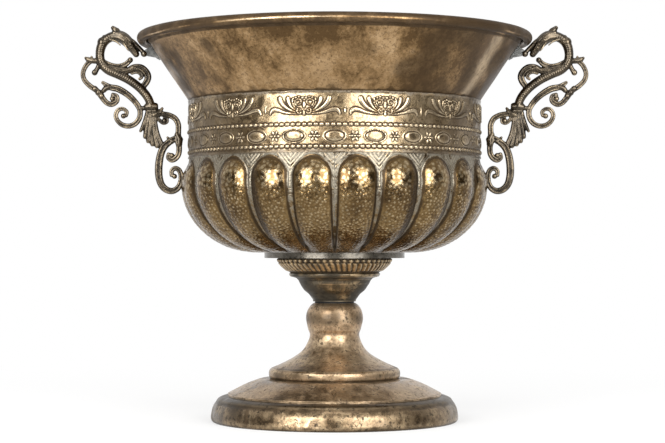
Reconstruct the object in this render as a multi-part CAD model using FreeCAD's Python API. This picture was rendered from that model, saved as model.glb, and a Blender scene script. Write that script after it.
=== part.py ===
import FreeCAD, Part
import math
import os
from FreeCAD import Vector

os.makedirs("parts", exist_ok=True)

# Sheet, fits and the overrun of every cut
sheet = 1.0
lap_fit = 0.1
seat_fit = 0.05
overrun = 5.0

# Heights of the stacked pieces, from the floor up
plinth_height = 25.6
pedestal_height = 91.7
stem_washer_height = 1.6
cup_height = 29.2
gadroon_height = 18.0
plate_sheet = 1.5
bowl_height = 93.4
band_height = 57.3
collar_height = 61.7

# Plinth, the pressed base that stands on the floor
plinth_sheet = 1.5
plinth_radius = 123.3
plinth_edge_radius = 118.2
plinth_edge_height = 19.4
plinth_hem = 6.0
plinth_ledge = 11.0
plinth_wall_shares = [(0.2, 0.36), (0.62, 0.8)]
plinth_shoulder_shares = [(0.45, 0.62)]

# Foot: a turned dome, and the cast stem with its bead ring that stands on it
dome_radius = 106.5
dome_lip = 1.8
dome_wall = 4.0
dome_shares = [(0.16, 0.22), (0.45, 0.6), (0.79, 0.93)]
ring_foot_radius = 68.0
ring_foot_height = 16.6
ring_neck_radius = 63.4
ring_radius = 65.6
ring_height = 10.0
waist_radius = 25.0
waist_height = 59.9
knop_radius = 28.7
knop_height = 76.0
knop_top_radius = 21.0
flare_shares = [(0.29, 0.15), (0.58, 0.33), (0.79, 0.51), (0.93, 0.74)]
knop_rise_shares = [(0.5, 0.4)]
knop_fall_shares = [(0.17, 0.48), (0.54, 0.8)]
hollow_seat_radius = 27.0
hollow_seat_height = 36.4

# Cup, fluted ring and seat plate under the bowl
stem_washer_radius = 19.6
cup_foot_radius = 21.5
cup_foot_height = 1.6
cup_bulge_radius = 34.6
cup_bulge_height = 17.5
cup_cove_radius = 36.4
cup_cove_height = 21.2
cup_lip_radius = 45.5
cup_lip_height = 4.4
cup_lip_round = 1.2
cup_low_shares = [(0.12, 0.14), (0.32, 0.36), (0.68, 0.62)]
gadroon_count = 60
gadroon_radius = 58.2
gadroon_foot_radius = 47.0
gadroon_neck = 4.2
gadroon_depth = 0.9
gadroon_bore_radius = 38.0
gadroon_rows = 6
gadroon_columns = 4
plate_radius = 70.0
plate_rim_height = 5.4

# Lobed bowl
lobe_count = 22
channel_depth = 5.5
lobe_width_share = 0.79
lobe_toe_width_share = 0.92
lobe_round_share = 0.7
lobe_top_drop = 2.0
lobe_toe_radius = 82.0
lobe_toe_length = 12.0
belly_swell = 7.3
belly_height = 68.4
bowl_flat_radius = 78.0
bowl_lap = 8.0
lobe_column_shares = [0, 0.3, 0.55, 0.72, 0.86, 1]
upper_rows = 7
lower_rows = 12
flat_row_shares = [0.34, 0.68, 1]

# Frieze band
band_radius = 146.2
pearl_ridge_radius = 1.7
upper_pearl_share = 0.452
lower_pearl_share = 0.095
oval_count = 24
oval_length = 18.4
oval_width = 10.4
oval_rise = 1.9
oval_share = 0.262

# Flared collar with its rim rolled over a wire
rim_flare = 51.0
rim_roll_radius = 5.0
rim_wire_fit = 0.1
roll_end_degrees = -150
collar_lap = 8.0

# Tie rod that clamps the stack together
rod_radius = 5.0
rod_hole_radius = 5.5
rod_end = 4.5
nut_sides = 6
nut_width = 17.0
nut_height = 8.0
top_washer_radius = 20.0
low_washer_radius = 16.0
rod_washer_height = 2.0

# Handle fixings
tab_sheet = 2.4
tab_foot_length = 15.0
tab_flange_width = 13.0
tab_flange_sheet = 1.6
tab_eye_radius = 2.5
pin_inset = 6.5
pin_drop = 13.4
pin_radius = 1.2
pin_head_radius = 2.0
pin_head_height = 1.0
tab_rivet_radius = 1.5
tab_rivet_head_radius = 2.8
tab_rivet_head_height = 1.2
slot_fit = 0.1
slot_reach = 1.3
handle_fit = 0.15
jaw_face = 3.0
tab_flange_gap = 0.15
tab_rivet_shares = [0.22, 0.72]
seat_height = 73.4
seat_boss_radius = 3.3
seat_boss_length = 3.4
screw_radius = 1.5
screw_hole_radius = 1.7
screw_depth = 3.0
screw_head_radius = 2.9
screw_head_height = 1.8
screw_washer_radius = 3.6
screw_washer_height = 0.8
screw_washer_gap = 0.1
wall_samples = 140

# Cast scroll handles, traced by hand over the photograph: x, y and half width in its pixels
handle_reach = 69.0
reach_pixels = 69.0
pin_pixel = (143.3, 53.5)
seat_pixel = (182.6, 178.0)
serpent_pixels = [
    (135.5, 54.0, 3.2), (131.5, 48.0, 4.2), (126.0, 41.0, 5.4), (119.5, 36.2, 5.6), (112.5, 35.6, 4.6),
    (105.0, 39.0, 4.2), (100.2, 46.0, 4.2), (98.9, 55.0, 4.3), (101.2, 63.0, 4.5), (107.5, 69.5, 4.6),
    (117.0, 73.8, 4.5), (127.3, 78.8, 4.4), (136.5, 85.0, 4.3), (143.5, 91.5, 4.3), (148.5, 98.5, 4.2),
    (151.3, 106.0, 4.2)]
ear_pixels = [(114.5, 34.0, 2.6), (113.2, 30.0, 2.2), (112.6, 27.2, 2.6)]
lip_pixels = [
    (126.0, 38.5, 3.0), (132.2, 42.0, 2.4), (136.4, 45.8, 2.2), (140.2, 49.6, 2.2), (143.3, 53.5, 2.4)]
tongue_pixels = [
    (102.0, 61.0, 2.2), (110.0, 65.0, 2.3), (118.0, 66.0, 2.3), (125.0, 64.0, 2.3), (129.5, 60.0, 2.5)]
leaf_pixels = [(106.0, 66.0, 2.6), (116.0, 69.5, 3.0), (126.0, 70.5, 2.8), (134.0, 67.0, 2.6)]
loop_pixels = [
    (126.5, 71.0, 2.4), (133.0, 67.0, 2.6), (140.5, 66.6, 2.7), (147.0, 71.5, 2.7), (149.0, 77.0, 2.7),
    (146.6, 82.6, 2.7), (141.5, 88.0, 2.6)]
spur_pixels = [(99.0, 60.5, 2.5), (91.0, 59.6, 2.3), (84.5, 57.6, 1.2)]
branch_pixels = [
    (91.5, 59.8, 2.2), (85.6, 65.0, 2.3), (82.2, 72.5, 2.3), (83.6, 79.5, 2.3), (89.8, 85.6, 2.4),
    (97.0, 90.5, 2.9), (102.4, 97.0, 2.8), (107.0, 102.6, 2.6), (112.0, 104.4, 2.5), (117.2, 100.8, 2.4),
    (116.8, 95.6, 2.2), (112.8, 94.2, 2.1)]
stem_pixels = [
    (102.5, 82.2, 1.3), (109.5, 86.6, 2.5), (118.0, 88.4, 2.8), (127.0, 93.6, 3.0), (134.5, 100.6, 3.0),
    (139.6, 107.6, 2.8), (140.6, 113.5, 2.7), (139.2, 118.8, 2.7), (135.0, 123.6, 2.6), (129.0, 125.8, 2.5),
    (122.4, 124.4, 2.4), (117.4, 119.6, 2.3), (115.8, 114.4, 2.2), (118.3, 109.6, 2.1), (122.9, 108.3, 2.0),
    (126.9, 111.2, 2.0), (126.2, 114.8, 2.2)]
cup_curl_pixels = [(103.6, 90.0, 2.2), (105.5, 88.0, 2.2), (109.5, 86.6, 2.3)]
knot_pixels = [(144.6, 106.8, 3.3), (151.3, 106.4, 4.6), (158.0, 106.2, 3.3)]
link_pixels = [(139.6, 108.0, 2.2), (145.5, 107.4, 2.4)]
skirt_pixels = [
    [(148.6, 107.0, 3.0), (145.4, 119.5, 3.0), (139.4, 130.0, 2.0)],
    [(150.2, 107.0, 3.2), (147.4, 125.0, 3.2), (144.2, 139.8, 2.2)],
    [(152.0, 107.0, 3.2), (151.0, 127.0, 3.2), (150.8, 142.6, 2.4)],
    [(153.6, 107.0, 3.2), (153.6, 126.0, 3.0), (155.4, 137.0, 3.0), (163.4, 146.6, 3.0)],
    [(152.6, 127.0, 3.0), (153.4, 138.0, 2.8), (157.4, 146.6, 2.4)]]
bud_pixels = [(154.0, 114.6, 3.0), (159.4, 112.0, 2.3), (162.4, 107.4, 1.2)]
arm_pixels = [
    (154.0, 114.6, 2.6), (161.0, 113.4, 2.5), (168.6, 114.4, 2.5), (175.4, 117.6, 2.5), (178.9, 123.6, 2.5),
    (179.0, 130.4, 2.6), (178.4, 138.6, 3.2), (180.2, 146.0, 2.5), (180.0, 152.8, 2.4), (177.0, 158.0, 2.4),
    (172.6, 159.8, 2.3), (169.0, 157.0, 2.2), (169.6, 153.6, 2.2)]
scroll_pixels = [
    (178.0, 136.6, 2.6), (171.0, 140.4, 3.0), (164.4, 146.0, 3.2), (160.6, 153.6, 3.2), (158.7, 164.0, 3.2),
    (158.7, 174.6, 3.1), (161.4, 183.6, 3.0), (166.8, 189.2, 2.9), (173.4, 190.6, 2.8), (179.2, 187.6, 2.7),
    (182.2, 181.6, 2.6), (182.4, 174.4, 2.5), (180.0, 169.0, 2.4), (176.0, 167.3, 2.3), (172.8, 170.0, 2.2),
    (172.8, 174.0, 2.2)]
barb_pixels = [(170.6, 141.0, 2.4), (167.8, 136.8, 1.2)]
curl_pixels = [
    [(99.0, 63.0, 2.2), (96.4, 69.0, 2.2), (94.0, 72.4, 2.9)],
    [(157.0, 115.0, 2.0), (159.6, 119.0, 2.0), (164.6, 121.4, 3.1)]]
ball_pixels = [
    (112.6, 26.9, 2.7), (143.3, 53.5, 3.4), (129.8, 59.6, 2.7), (94.0, 72.4, 3.0), (123.6, 115.4, 2.5),
    (112.2, 98.2, 2.4), (164.9, 121.4, 3.3), (172.6, 154.6, 2.6), (175.6, 175.2, 2.6), (135.5, 54.0, 3.3),
    (101.4, 41.6, 6.0)]
eye_link_pixels = [
    [(126.2, 114.8, 2.0), (123.6, 115.4, 2.0)], [(112.8, 94.2, 2.0), (112.2, 98.2, 2.0)],
    [(169.6, 153.6, 2.0), (172.6, 154.6, 2.0)], [(172.8, 174.0, 2.0), (175.6, 175.2, 2.0)]]

# Levels worked out from the heights
pedestal_base = plinth_height
pedestal_top = pedestal_base + pedestal_height
cup_base = pedestal_top + stem_washer_height
cup_top = cup_base + cup_height
gadroon_top = cup_top + gadroon_height
bowl_base = gadroon_top + plate_sheet
belly_level = bowl_base + belly_height
band_base = bowl_base + bowl_height
band_top = band_base + band_height
rim_level = band_top + collar_height
seat_level = bowl_base + seat_height

# Sizes that follow from the sizes above
band_inner_radius = band_radius - sheet
belly_radius = band_radius + belly_swell
rim_radius = band_radius + rim_flare
lip_radius = band_inner_radius - lap_fit
roll_inner_radius = rim_roll_radius - sheet
rim_centre_radius = rim_radius - rim_roll_radius
pixel_size = handle_reach / reach_pixels
up = Vector(0, 0, 1)
origin = Vector(0, 0, 0)
full_turn = 360
half_turn = math.pi
quarter_turn = math.pi / 2


def at(radius, height):
    return Vector(radius, 0, height)


def line(start, end):
    return Part.LineSegment(start, end).toShape()


def path(points):
    return [line(a, b) for a, b in zip(points[:-1], points[1:])]


def curve(points):
    spline = Part.BSplineCurve()
    spline.interpolate(points)
    return spline.toShape()


def arc(start, middle, end):
    return Part.Arc(start, middle, end).toShape()


def between(start, end, shares):
    span = end - start
    return [at(start.x + span.x * across, start.z + span.z * along) for across, along in shares]


def turned(edges):
    face = Part.Face(Part.Wire(Part.__sortEdges__(edges)))
    return face.revolve(origin, up, full_turn)


def disc_ring(outer, inner, base, height):
    body = Part.makeCylinder(outer, height, at(0, base))
    return body.cut(Part.makeCylinder(inner, height + overrun + overrun, at(0, base - overrun)))


def spun(shape, degrees):
    copy = shape.copy()
    copy.rotate(origin, up, degrees)
    return copy


def solid_of(shape):
    return shape.Solids[0]


def mirrored(shape):
    return shape.mirror(origin, Vector(1, 0, 0))


def keep(name, shape):
    shape.exportStep("parts/" + name + ".step")


# A smooth face held by a grid of poles, clamped at its borders
def pole_face(grid):
    degree = 3
    settings = []
    for count in (len(grid), len(grid[0])):
        spans = count - degree
        settings.append([degree + 1] + [1] * (spans - 1) + [degree + 1])
        settings.append([k / spans for k in range(spans + 1)])
    surface = Part.BSplineSurface()
    surface.buildFromPolesMultsKnots(grid, settings[0], settings[2], settings[1], settings[3], False, False,
                                     degree, degree)
    return surface


# Equal sectors, each with an outer and an inner face, sewn into a ring or a part of one
def sector_ring(outer_rows, inner_rows, count, first, last):
    outer = pole_face(outer_rows)
    inner = pole_face(inner_rows)
    sector = [outer.toShape(), inner.toShape()]
    for end in (0, 1):
        sector.append(Part.makeRuledSurface(outer.uIso(end).toShape(), inner.uIso(end).toShape()))
    faces = [spun(face, full_turn * k / count) for k in range(first, last) for face in sector]
    if last - first < count:
        for end, sector_index in ((0, first), (1, last - 1)):
            seam = Part.makeRuledSurface(outer.vIso(end).toShape(), inner.vIso(end).toShape())
            faces.append(spun(seam, full_turn * sector_index / count))
    shell = Part.makeShell(faces)
    shell.sewShape()
    solid = Part.makeSolid(shell)
    if solid.Volume < 0:
        solid.reverse()
    return solid


# Plinth
def plinth():
    ledge_inner = at(dome_radius - plinth_ledge, plinth_height)
    ledge_outer = at(dome_radius, plinth_height)
    edge = at(plinth_edge_radius, plinth_edge_height)
    foot = at(plinth_radius, 0)
    outer = [ledge_outer] + between(ledge_outer, edge, plinth_shoulder_shares) + [edge]
    wall = [edge] + between(edge, foot, plinth_wall_shares) + [foot]
    inset = Vector(-plinth_sheet, 0, 0)
    drop = Vector(0, 0, -plinth_sheet)
    lift = Vector(0, 0, plinth_sheet)
    hem = at(plinth_radius - plinth_hem, 0)
    inner_edge = edge + inset + drop
    inner_foot = foot + inset + lift
    inner_wall = [inner_edge] + [point + inset for point in wall[1:-1]] + [inner_foot]
    inner_shoulder = [point + drop for point in outer[:-1]] + [inner_edge]
    edges = [line(ledge_inner, ledge_outer), curve(outer), curve(wall)]
    edges += path([foot, hem, hem + lift, inner_foot]) + [curve(inner_wall), curve(inner_shoulder)]
    edges += path([ledge_outer + drop, ledge_inner + drop, ledge_inner])
    return turned(edges)


# Hollow of the foot: top of the dome's wall, flat joint of dome and stem, seat of the rod's lower washer
def foot_hollow():
    ring_low = at(ring_neck_radius, pedestal_base + ring_foot_height)
    dome_top = ring_low + Vector(-dome_wall, 0, -dome_wall)
    seat = at(hollow_seat_radius, pedestal_base + hollow_seat_height)
    joint_share = (ring_low.z - dome_top.z) / (seat.z - dome_top.z)
    return dome_top, dome_top + (seat - dome_top) * joint_share, seat


# Dome between the plinth and the bead ring
def foot_dome():
    dome_top, joint, seat = foot_hollow()
    rim = at(dome_radius, pedestal_base)
    lip = at(dome_radius, pedestal_base + dome_lip)
    ring_foot = at(ring_foot_radius, joint.z)
    hollow_rim = at(dome_radius - dome_wall, pedestal_base)
    outer = [lip] + between(lip, ring_foot, dome_shares) + [ring_foot]
    inner = [hollow_rim] + between(hollow_rim, dome_top, dome_shares) + [dome_top]
    edges = [line(rim, lip), curve(outer), line(ring_foot, joint), line(joint, dome_top)]
    return turned(edges + [curve(inner), line(hollow_rim, rim)])


# Stem casting from the bead ring to the knop, hollow below
def pedestal_stem():
    base = pedestal_base
    joint, seat = foot_hollow()[1:]
    ring_low = at(ring_neck_radius, joint.z)
    ring_mid = at(ring_radius, joint.z + ring_height / 2)
    ring_top = at(ring_neck_radius, joint.z + ring_height)
    waist = at(waist_radius, base + waist_height)
    knop = at(knop_radius, base + knop_height)
    top = at(knop_top_radius, pedestal_top)
    side = [ring_top] + between(ring_top, waist, flare_shares) + [waist]
    side += between(waist, knop, knop_rise_shares) + [knop]
    side += between(knop, top, knop_fall_shares) + [top]
    bore_top = at(rod_hole_radius, pedestal_top)
    bore_low = at(rod_hole_radius, seat.z)
    edges = [line(joint, ring_low), arc(ring_low, ring_mid, ring_top), curve(side)]
    return turned(edges + path([top, bore_top, bore_low, seat, joint]))


# Cup above the knop
def stem_cup():
    foot = at(cup_foot_radius, cup_base)
    foot_top = at(cup_foot_radius, cup_base + cup_foot_height)
    bulge = at(cup_bulge_radius, cup_base + cup_bulge_height)
    cove = at(cup_cove_radius, cup_base + cup_cove_height)
    lip_low = at(cup_lip_radius - cup_lip_round, cup_top - cup_lip_height)
    lip_mid = at(cup_lip_radius, cup_top - cup_lip_height / 2)
    lip_top = at(cup_lip_radius - cup_lip_round, cup_top)
    side = [foot_top] + between(foot_top, bulge, cup_low_shares) + [bulge]
    edges = [line(foot, foot_top), curve(side), line(bulge, cove)]
    edges += [arc(cove, (cove + lip_low) / 2 + at(-cup_lip_round, cup_lip_round / 2), lip_low)]
    edges += [arc(lip_low, lip_mid, lip_top)]
    edges += path([lip_top, at(rod_hole_radius, cup_top), at(rod_hole_radius, cup_base), foot])
    return turned(edges)


# Fluted ring between the cup and the seat plate
def gadroon_ring():
    pitch = half_turn / gadroon_count
    rise = gadroon_height - gadroon_neck
    rows = []
    for k in range(gadroon_rows + 1):
        step = k / gadroon_rows
        swell = math.sin(step * quarter_turn)
        radius = gadroon_foot_radius + (gadroon_radius - gadroon_foot_radius) * swell
        rows.append((radius, cup_top + rise * step, gadroon_depth * math.sin(step * half_turn)))
    rows.append((gadroon_radius, gadroon_top - gadroon_neck / 2, 0))
    rows.append((gadroon_radius, gadroon_top, 0))
    turns = [pitch * k / gadroon_columns for k in range(-gadroon_columns, gadroon_columns + 1)]
    outer = []
    bore = []
    for radius, level, depth in rows:
        reach = [radius - depth * (1 - math.cos(turn / pitch * quarter_turn)) for turn in turns]
        outer.append([Vector(r * math.cos(t), r * math.sin(t), level) for r, t in zip(reach, turns)])
        bore.append([Vector(gadroon_bore_radius * math.cos(t), gadroon_bore_radius * math.sin(t), level)
                     for t in turns])
    return sector_ring(outer, bore, gadroon_count, 0, gadroon_count)


# Seat plate pressed from sheet with a turned-down edge
def seat_plate():
    low = bowl_base - plate_rim_height
    edges = path([
        at(rod_hole_radius, bowl_base), at(plate_radius, bowl_base), at(plate_radius, low),
        at(plate_radius - plate_sheet, low), at(plate_radius - plate_sheet, gadroon_top),
        at(rod_hole_radius, gadroon_top), at(rod_hole_radius, bowl_base)])
    return turned(edges)


# The bowl's crest line: radius, level, outward normal and depth of the channels beside it
def crest_turn():
    return math.acos((lip_radius - bowl_flat_radius) / (belly_radius - bowl_flat_radius))


def crest_row(turn):
    across = belly_radius - bowl_flat_radius
    climb = (bowl_height - belly_height) / math.sin(crest_turn()) if turn > 0 else belly_height
    radius = bowl_flat_radius + across * math.cos(turn)
    level = belly_level + climb * math.sin(turn)
    normal = Vector(math.cos(turn) / across, 0, math.sin(turn) / climb).normalize()
    if turn > 0:
        drop_share = (band_base - level) / (band_base - belly_level)
        depth = radius - lip_radius - (belly_radius - channel_depth - lip_radius) * drop_share
    else:
        depth = channel_depth * min(1, max(0, (radius - lobe_toe_radius) / lobe_toe_length))
    return radius, level, normal.x, normal.z, depth


def bowl_rows():
    rows = [(lip_radius, band_base + bowl_lap, 1, 0, 0), (lip_radius, band_base + bowl_lap / 2, 1, 0, 0)]
    rows += [crest_row(crest_turn() * (1 - k / upper_rows)) for k in range(upper_rows)]
    rows += [crest_row(-quarter_turn * k / lower_rows) for k in range(lower_rows + 1)]
    span = rod_hole_radius - bowl_flat_radius
    rows += [(bowl_flat_radius + span * share, bowl_base, 0, -1, 0) for share in flat_row_shares]
    return rows


# How far the wall stands out of its channel, from 0 in the channel to 1 on the crest
def lobe_share(radius, level, turn):
    pitch = half_turn / lobe_count
    slim_share = (belly_radius - radius) / (belly_radius - lobe_toe_radius)
    width_share = lobe_width_share + (lobe_toe_width_share - lobe_width_share) * min(1, max(0, slim_share))
    half_width = belly_radius * pitch * lobe_width_share
    over_top = max(0, (level - band_base + lobe_top_drop + half_width) / half_width)
    spread = (turn / (pitch * width_share)) ** 2 + over_top ** 2
    return max(0, 1 - spread) ** lobe_round_share


def bowl_grid(inset):
    pitch = half_turn / lobe_count
    turns = [-pitch * share for share in reversed(lobe_column_shares[1:])]
    turns += [pitch * share for share in lobe_column_shares]
    grid = []
    for radius, level, out, rise, depth in bowl_rows():
        row = []
        for turn in turns:
            lift = depth * (lobe_share(radius, level, turn) - 1) - inset
            reach = radius + out * lift
            row.append(Vector(reach * math.cos(turn), reach * math.sin(turn), level + rise * lift))
        grid.append(row)
    return grid


def seat_radius():
    climb = (bowl_height - belly_height) / math.sin(crest_turn())
    return crest_row(math.asin((seat_level - belly_level) / climb))[0]


# Half of the bowl, from the soldered seam in the front channel to the one at the back
def bowl_half():
    half_count = lobe_count // 2
    first = -(half_count // 2)
    half = sector_ring(bowl_grid(0), bowl_grid(sheet), lobe_count, first, first + half_count)
    start = at(seat_radius() - channel_depth - overrun, seat_level)
    hole = Part.makeCylinder(screw_hole_radius, channel_depth + overrun + overrun, start, Vector(1, 0, 0))
    return solid_of(half.cut(hole))


# The space that the lobes sweep out, for coping the handles
def bowl_sweep():
    rows = [row for row in bowl_rows() if row[0] > lobe_toe_radius]
    outline = [at(row[0] + handle_fit, row[1]) for row in rows]
    closing = [outline[-1], at(0, outline[-1].z), at(0, outline[0].z), outline[0]]
    return turned([curve(outline)] + path(closing))


# Frieze band with pearl ridges and a row of raised ovals
def frieze_band():
    body = disc_ring(band_radius, band_inner_radius, band_base, band_height)
    pieces = []
    for share in (upper_pearl_share, lower_pearl_share):
        level = band_base + band_height * share
        low = at(band_radius, level - pearl_ridge_radius)
        high = at(band_radius, level + pearl_ridge_radius)
        sink = at(-sheet / 2, 0)
        half_round = arc(low, at(band_radius + pearl_ridge_radius, level), high)
        pieces.append(turned([half_round] + path([high, high + sink, low + sink, low])))
    level = band_base + band_height * oval_share
    half_length = oval_length / 2
    half_width = oval_width / 2
    long_axis = Part.Ellipse(origin, half_length, half_width)
    half = long_axis.toShape(0, half_turn)
    face = Part.Face(Part.Wire([half, line(Vector(-half_length, 0, 0), Vector(half_length, 0, 0))]))
    oval = face.revolve(origin, Vector(1, 0, 0), full_turn)
    oval.rotate(origin, up, full_turn / 4)
    oval.translate(at(band_radius + oval_rise - half_width, level))
    oval = oval.cut(Part.makeCylinder(band_radius - sheet / 2, oval_width + overrun + overrun,
                                      at(0, level - half_width - overrun)))
    pieces += [spun(oval, full_turn * k / oval_count) for k in range(oval_count)]
    return solid_of(body.multiFuse(pieces))


# Angle of the cone from the band to the rolled rim, measured from the axis
def cone_angle():
    run = rim_centre_radius - lip_radius
    rise = rim_level - band_top
    return math.atan2(run, rise) - math.asin(roll_inner_radius / math.hypot(run, rise))


def cone_along():
    return at(math.sin(cone_angle()), math.cos(cone_angle()))


def cone_out():
    return at(math.cos(cone_angle()), -math.sin(cone_angle()))


# Collar, one sheet from the lap joint to the roll round the rim wire
def flared_collar():
    centre = at(rim_centre_radius, rim_level)
    out = cone_out()
    skin = out * -sheet
    start_turn = math.atan2(-out.z, -out.x)
    end_turn = math.radians(roll_end_degrees)
    mid_turn = (start_turn + end_turn) / 2
    low = at(lip_radius, band_top - collar_lap)
    neck = at(lip_radius, band_top)
    touch = centre - out * roll_inner_radius
    ends = {}
    for radius in (roll_inner_radius, rim_roll_radius):
        ends[radius] = [centre + at(math.cos(t), math.sin(t)) * radius for t in (mid_turn, end_turn)]
    inner_neck = at(lip_radius - sheet, band_top + sheet * math.tan(cone_angle() / 2))
    inner_low = at(lip_radius - sheet, band_top - collar_lap)
    inner_mid, inner_end = ends[roll_inner_radius]
    outer_mid, outer_end = ends[rim_roll_radius]
    edges = path([low, neck, touch]) + [arc(touch, inner_mid, inner_end), line(inner_end, outer_end)]
    edges += [arc(outer_end, outer_mid, touch + skin)] + path([touch + skin, inner_neck, inner_low, low])
    return turned(edges)


def rim_wire():
    return Part.makeTorus(rim_centre_radius, roll_inner_radius - rim_wire_fit, at(0, rim_level))


# Tie rod, nuts and washers
def hex_nut(base):
    corner = nut_width / 2 / math.cos(half_turn / nut_sides)
    turns = [full_turn * k / nut_sides for k in range(nut_sides + 1)]
    points = [spun(Part.Vertex(corner, 0, base), turn).Point for turn in turns]
    prism = Part.Face(Part.makePolygon(points)).extrude(up * nut_height)
    bore_length = nut_height + overrun + overrun
    return prism.cut(Part.makeCylinder(rod_radius + seat_fit, bore_length, at(0, base - overrun)))


def rod_levels():
    seat = pedestal_base + hollow_seat_height
    low_nut = seat - rod_washer_height - nut_height
    floor = bowl_base + sheet
    top_nut = floor + rod_washer_height
    return seat, low_nut, floor, top_nut


def tie_rod():
    low = rod_levels()[1] - rod_end
    high = rod_levels()[3] + nut_height + rod_end
    return Part.makeCylinder(rod_radius, high - low, at(0, low))


# Places on the cone: up along it, sideways and out from it
def on_cone(along, side, out):
    return at(lip_radius, band_top) + cone_along() * along + cone_out() * out + Vector(0, side, 0)


def pin_place():
    return at(rim_radius - pin_inset, rim_level - pin_drop)


def pin_on_cone():
    offset = pin_place() - at(lip_radius, band_top)
    return offset.dot(cone_along()), offset.dot(cone_out())


# Half outline of a rounded head, from the axis at its top to its rim
def head_arc(base, radius, height):
    ball_radius = (radius * radius + height * height) / (height + height)
    middle = math.asin(radius / ball_radius) / 2
    centre = base + height - ball_radius
    halfway = at(0, centre) + at(math.sin(middle), math.cos(middle)) * ball_radius
    return arc(at(0, base + height), halfway, at(radius, base))


def aimed(shape, place, heading):
    shape.Placement = FreeCAD.Placement(place, FreeCAD.Rotation(up, heading))
    return shape


def rivet(place, heading, radius, length, head_radius, head_height):
    head = head_arc(0, head_radius, head_height)
    top = head.copy()
    top.translate(at(0, length))
    low = head.mirror(origin, up)
    sides = path([at(head_radius, length), at(radius, length), at(radius, 0), at(head_radius, 0)])
    axis = line(at(0, -head_height), at(0, length + head_height))
    return aimed(turned([axis, top, low] + sides), place, heading)


# Rivets that hold a tab's flange to the collar
def tab_rivet_places():
    along = pin_on_cone()[0] + tab_eye_radius - tab_foot_length
    return [on_cone(along + tab_foot_length * share, 0, -sheet - seat_fit) for share in tab_rivet_shares]


def tab_rivet_turn():
    return math.degrees(tab_flange_width / 2 / pin_place().x)


def tab_rivets():
    length = sheet + seat_fit + tab_flange_gap + tab_flange_sheet + seat_fit
    pins = [rivet(place, cone_out(), tab_rivet_radius, length, tab_rivet_head_radius, tab_rivet_head_height)
            for place in tab_rivet_places()]
    return [spun(pin, tab_rivet_turn()) for pin in pins]


def tab_rivet_holes():
    length = overrun + overrun
    holes = [Part.makeCylinder(tab_rivet_radius + seat_fit, length, place - cone_out() * overrun, cone_out())
             for place in tab_rivet_places()]
    return [spun(hole, tab_rivet_turn()) for hole in holes]


# Sheet tab under the rim: a flange on the cone and a gusset with an eye for the jaw's rivet
def handle_tab():
    eye_along, eye_out = pin_on_cone()
    low = eye_along + tab_eye_radius - tab_foot_length
    high = eye_along + tab_eye_radius
    side = -tab_sheet / 2
    outline = [
        (low, tab_flange_gap), (high, tab_flange_gap), (high, eye_out),
        (eye_along, eye_out + tab_eye_radius), (eye_along - tab_eye_radius, eye_out), (low, tab_flange_gap)]
    gusset = Part.Face(Part.makePolygon([on_cone(along, side, out) for along, out in outline]))
    gusset = gusset.extrude(Vector(0, tab_sheet, 0))
    top = tab_flange_gap + tab_flange_sheet
    foot = [(low, tab_flange_gap), (high, tab_flange_gap), (high, top), (low, top), (low, tab_flange_gap)]
    flange = Part.Face(Part.makePolygon([on_cone(along, 0, out) for along, out in foot]))
    flange = flange.revolve(origin, up, math.degrees(tab_flange_width / pin_place().x))
    eye = Part.makeCylinder(pin_radius + seat_fit, tab_sheet + overrun, pin_place() - Vector(0, overrun, 0),
                            Vector(0, 1, 0))
    return solid_of(gusset.fuse(flange).cut([eye] + tab_rivet_holes()))


def jaw_rivet():
    start = pin_place() - Vector(0, jaw_face, 0)
    return rivet(start, Vector(0, 1, 0), pin_radius, jaw_face + jaw_face, pin_head_radius, pin_head_height)


# The bowl's wall inside a washer's outline, at its nearest to the axis
def washer_seat():
    wall = pole_face(bowl_grid(sheet))
    shares = [k / wall_samples for k in range(wall_samples + 1)]
    points = [wall.value(along, across) for along in shares for across in shares]
    near = [p for p in points if math.hypot(p.y, p.z - seat_level) < screw_washer_radius + screw_washer_gap]
    return min(p.x for p in near)


# Screw and washer that hold the lower scroll, set from inside the bowl
def seat_washer():
    face = at(washer_seat() - screw_washer_gap, seat_level)
    body = Part.makeCylinder(screw_washer_radius, screw_washer_height, face, Vector(-1, 0, 0))
    hole = Part.makeCylinder(screw_hole_radius, screw_washer_height + overrun + overrun,
                             face + Vector(overrun, 0, 0), Vector(-1, 0, 0))
    return body.cut(hole)


def seat_screw():
    head = at(washer_seat() - screw_washer_gap - screw_washer_height - seat_fit, seat_level)
    length = seat_radius() + handle_fit + screw_depth - head.x
    shank = Part.makeCylinder(screw_radius, length, head, Vector(1, 0, 0))
    cap = turned([head_arc(0, screw_head_radius, screw_head_height)] + path([
        at(screw_head_radius, 0), origin, at(0, screw_head_height)]))
    return solid_of(shank.fuse(aimed(cap, head, Vector(-1, 0, 0))))


# Handle: the traced pixels are hung between the pin under the rim and the seat on the bowl
def handle_point(x, y):
    rise_share = (seat_pixel[1] - y) / (seat_pixel[1] - pin_pixel[1])
    line_x = seat_pixel[0] + (pin_pixel[0] - seat_pixel[0]) * rise_share
    seat = at(seat_radius(), seat_level)
    return seat + (pin_place() - seat) * rise_share + at((line_x - x) * pixel_size, 0)


def stroke(pixels):
    centres = [handle_point(x, y) for x, y, half in pixels]
    spine = Part.BSplineCurve()
    spine.interpolate(centres)
    rings = []
    for centre, (x, y, half) in zip(centres, pixels):
        heading = spine.tangent(spine.parameter(centre))[0]
        rings.append(Part.Wire(Part.Circle(centre, heading, half * pixel_size).toShape()))
    return Part.makeLoft(rings, True)


def ball(x, y, half):
    return Part.makeSphere(half * pixel_size, handle_point(x, y))


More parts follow.
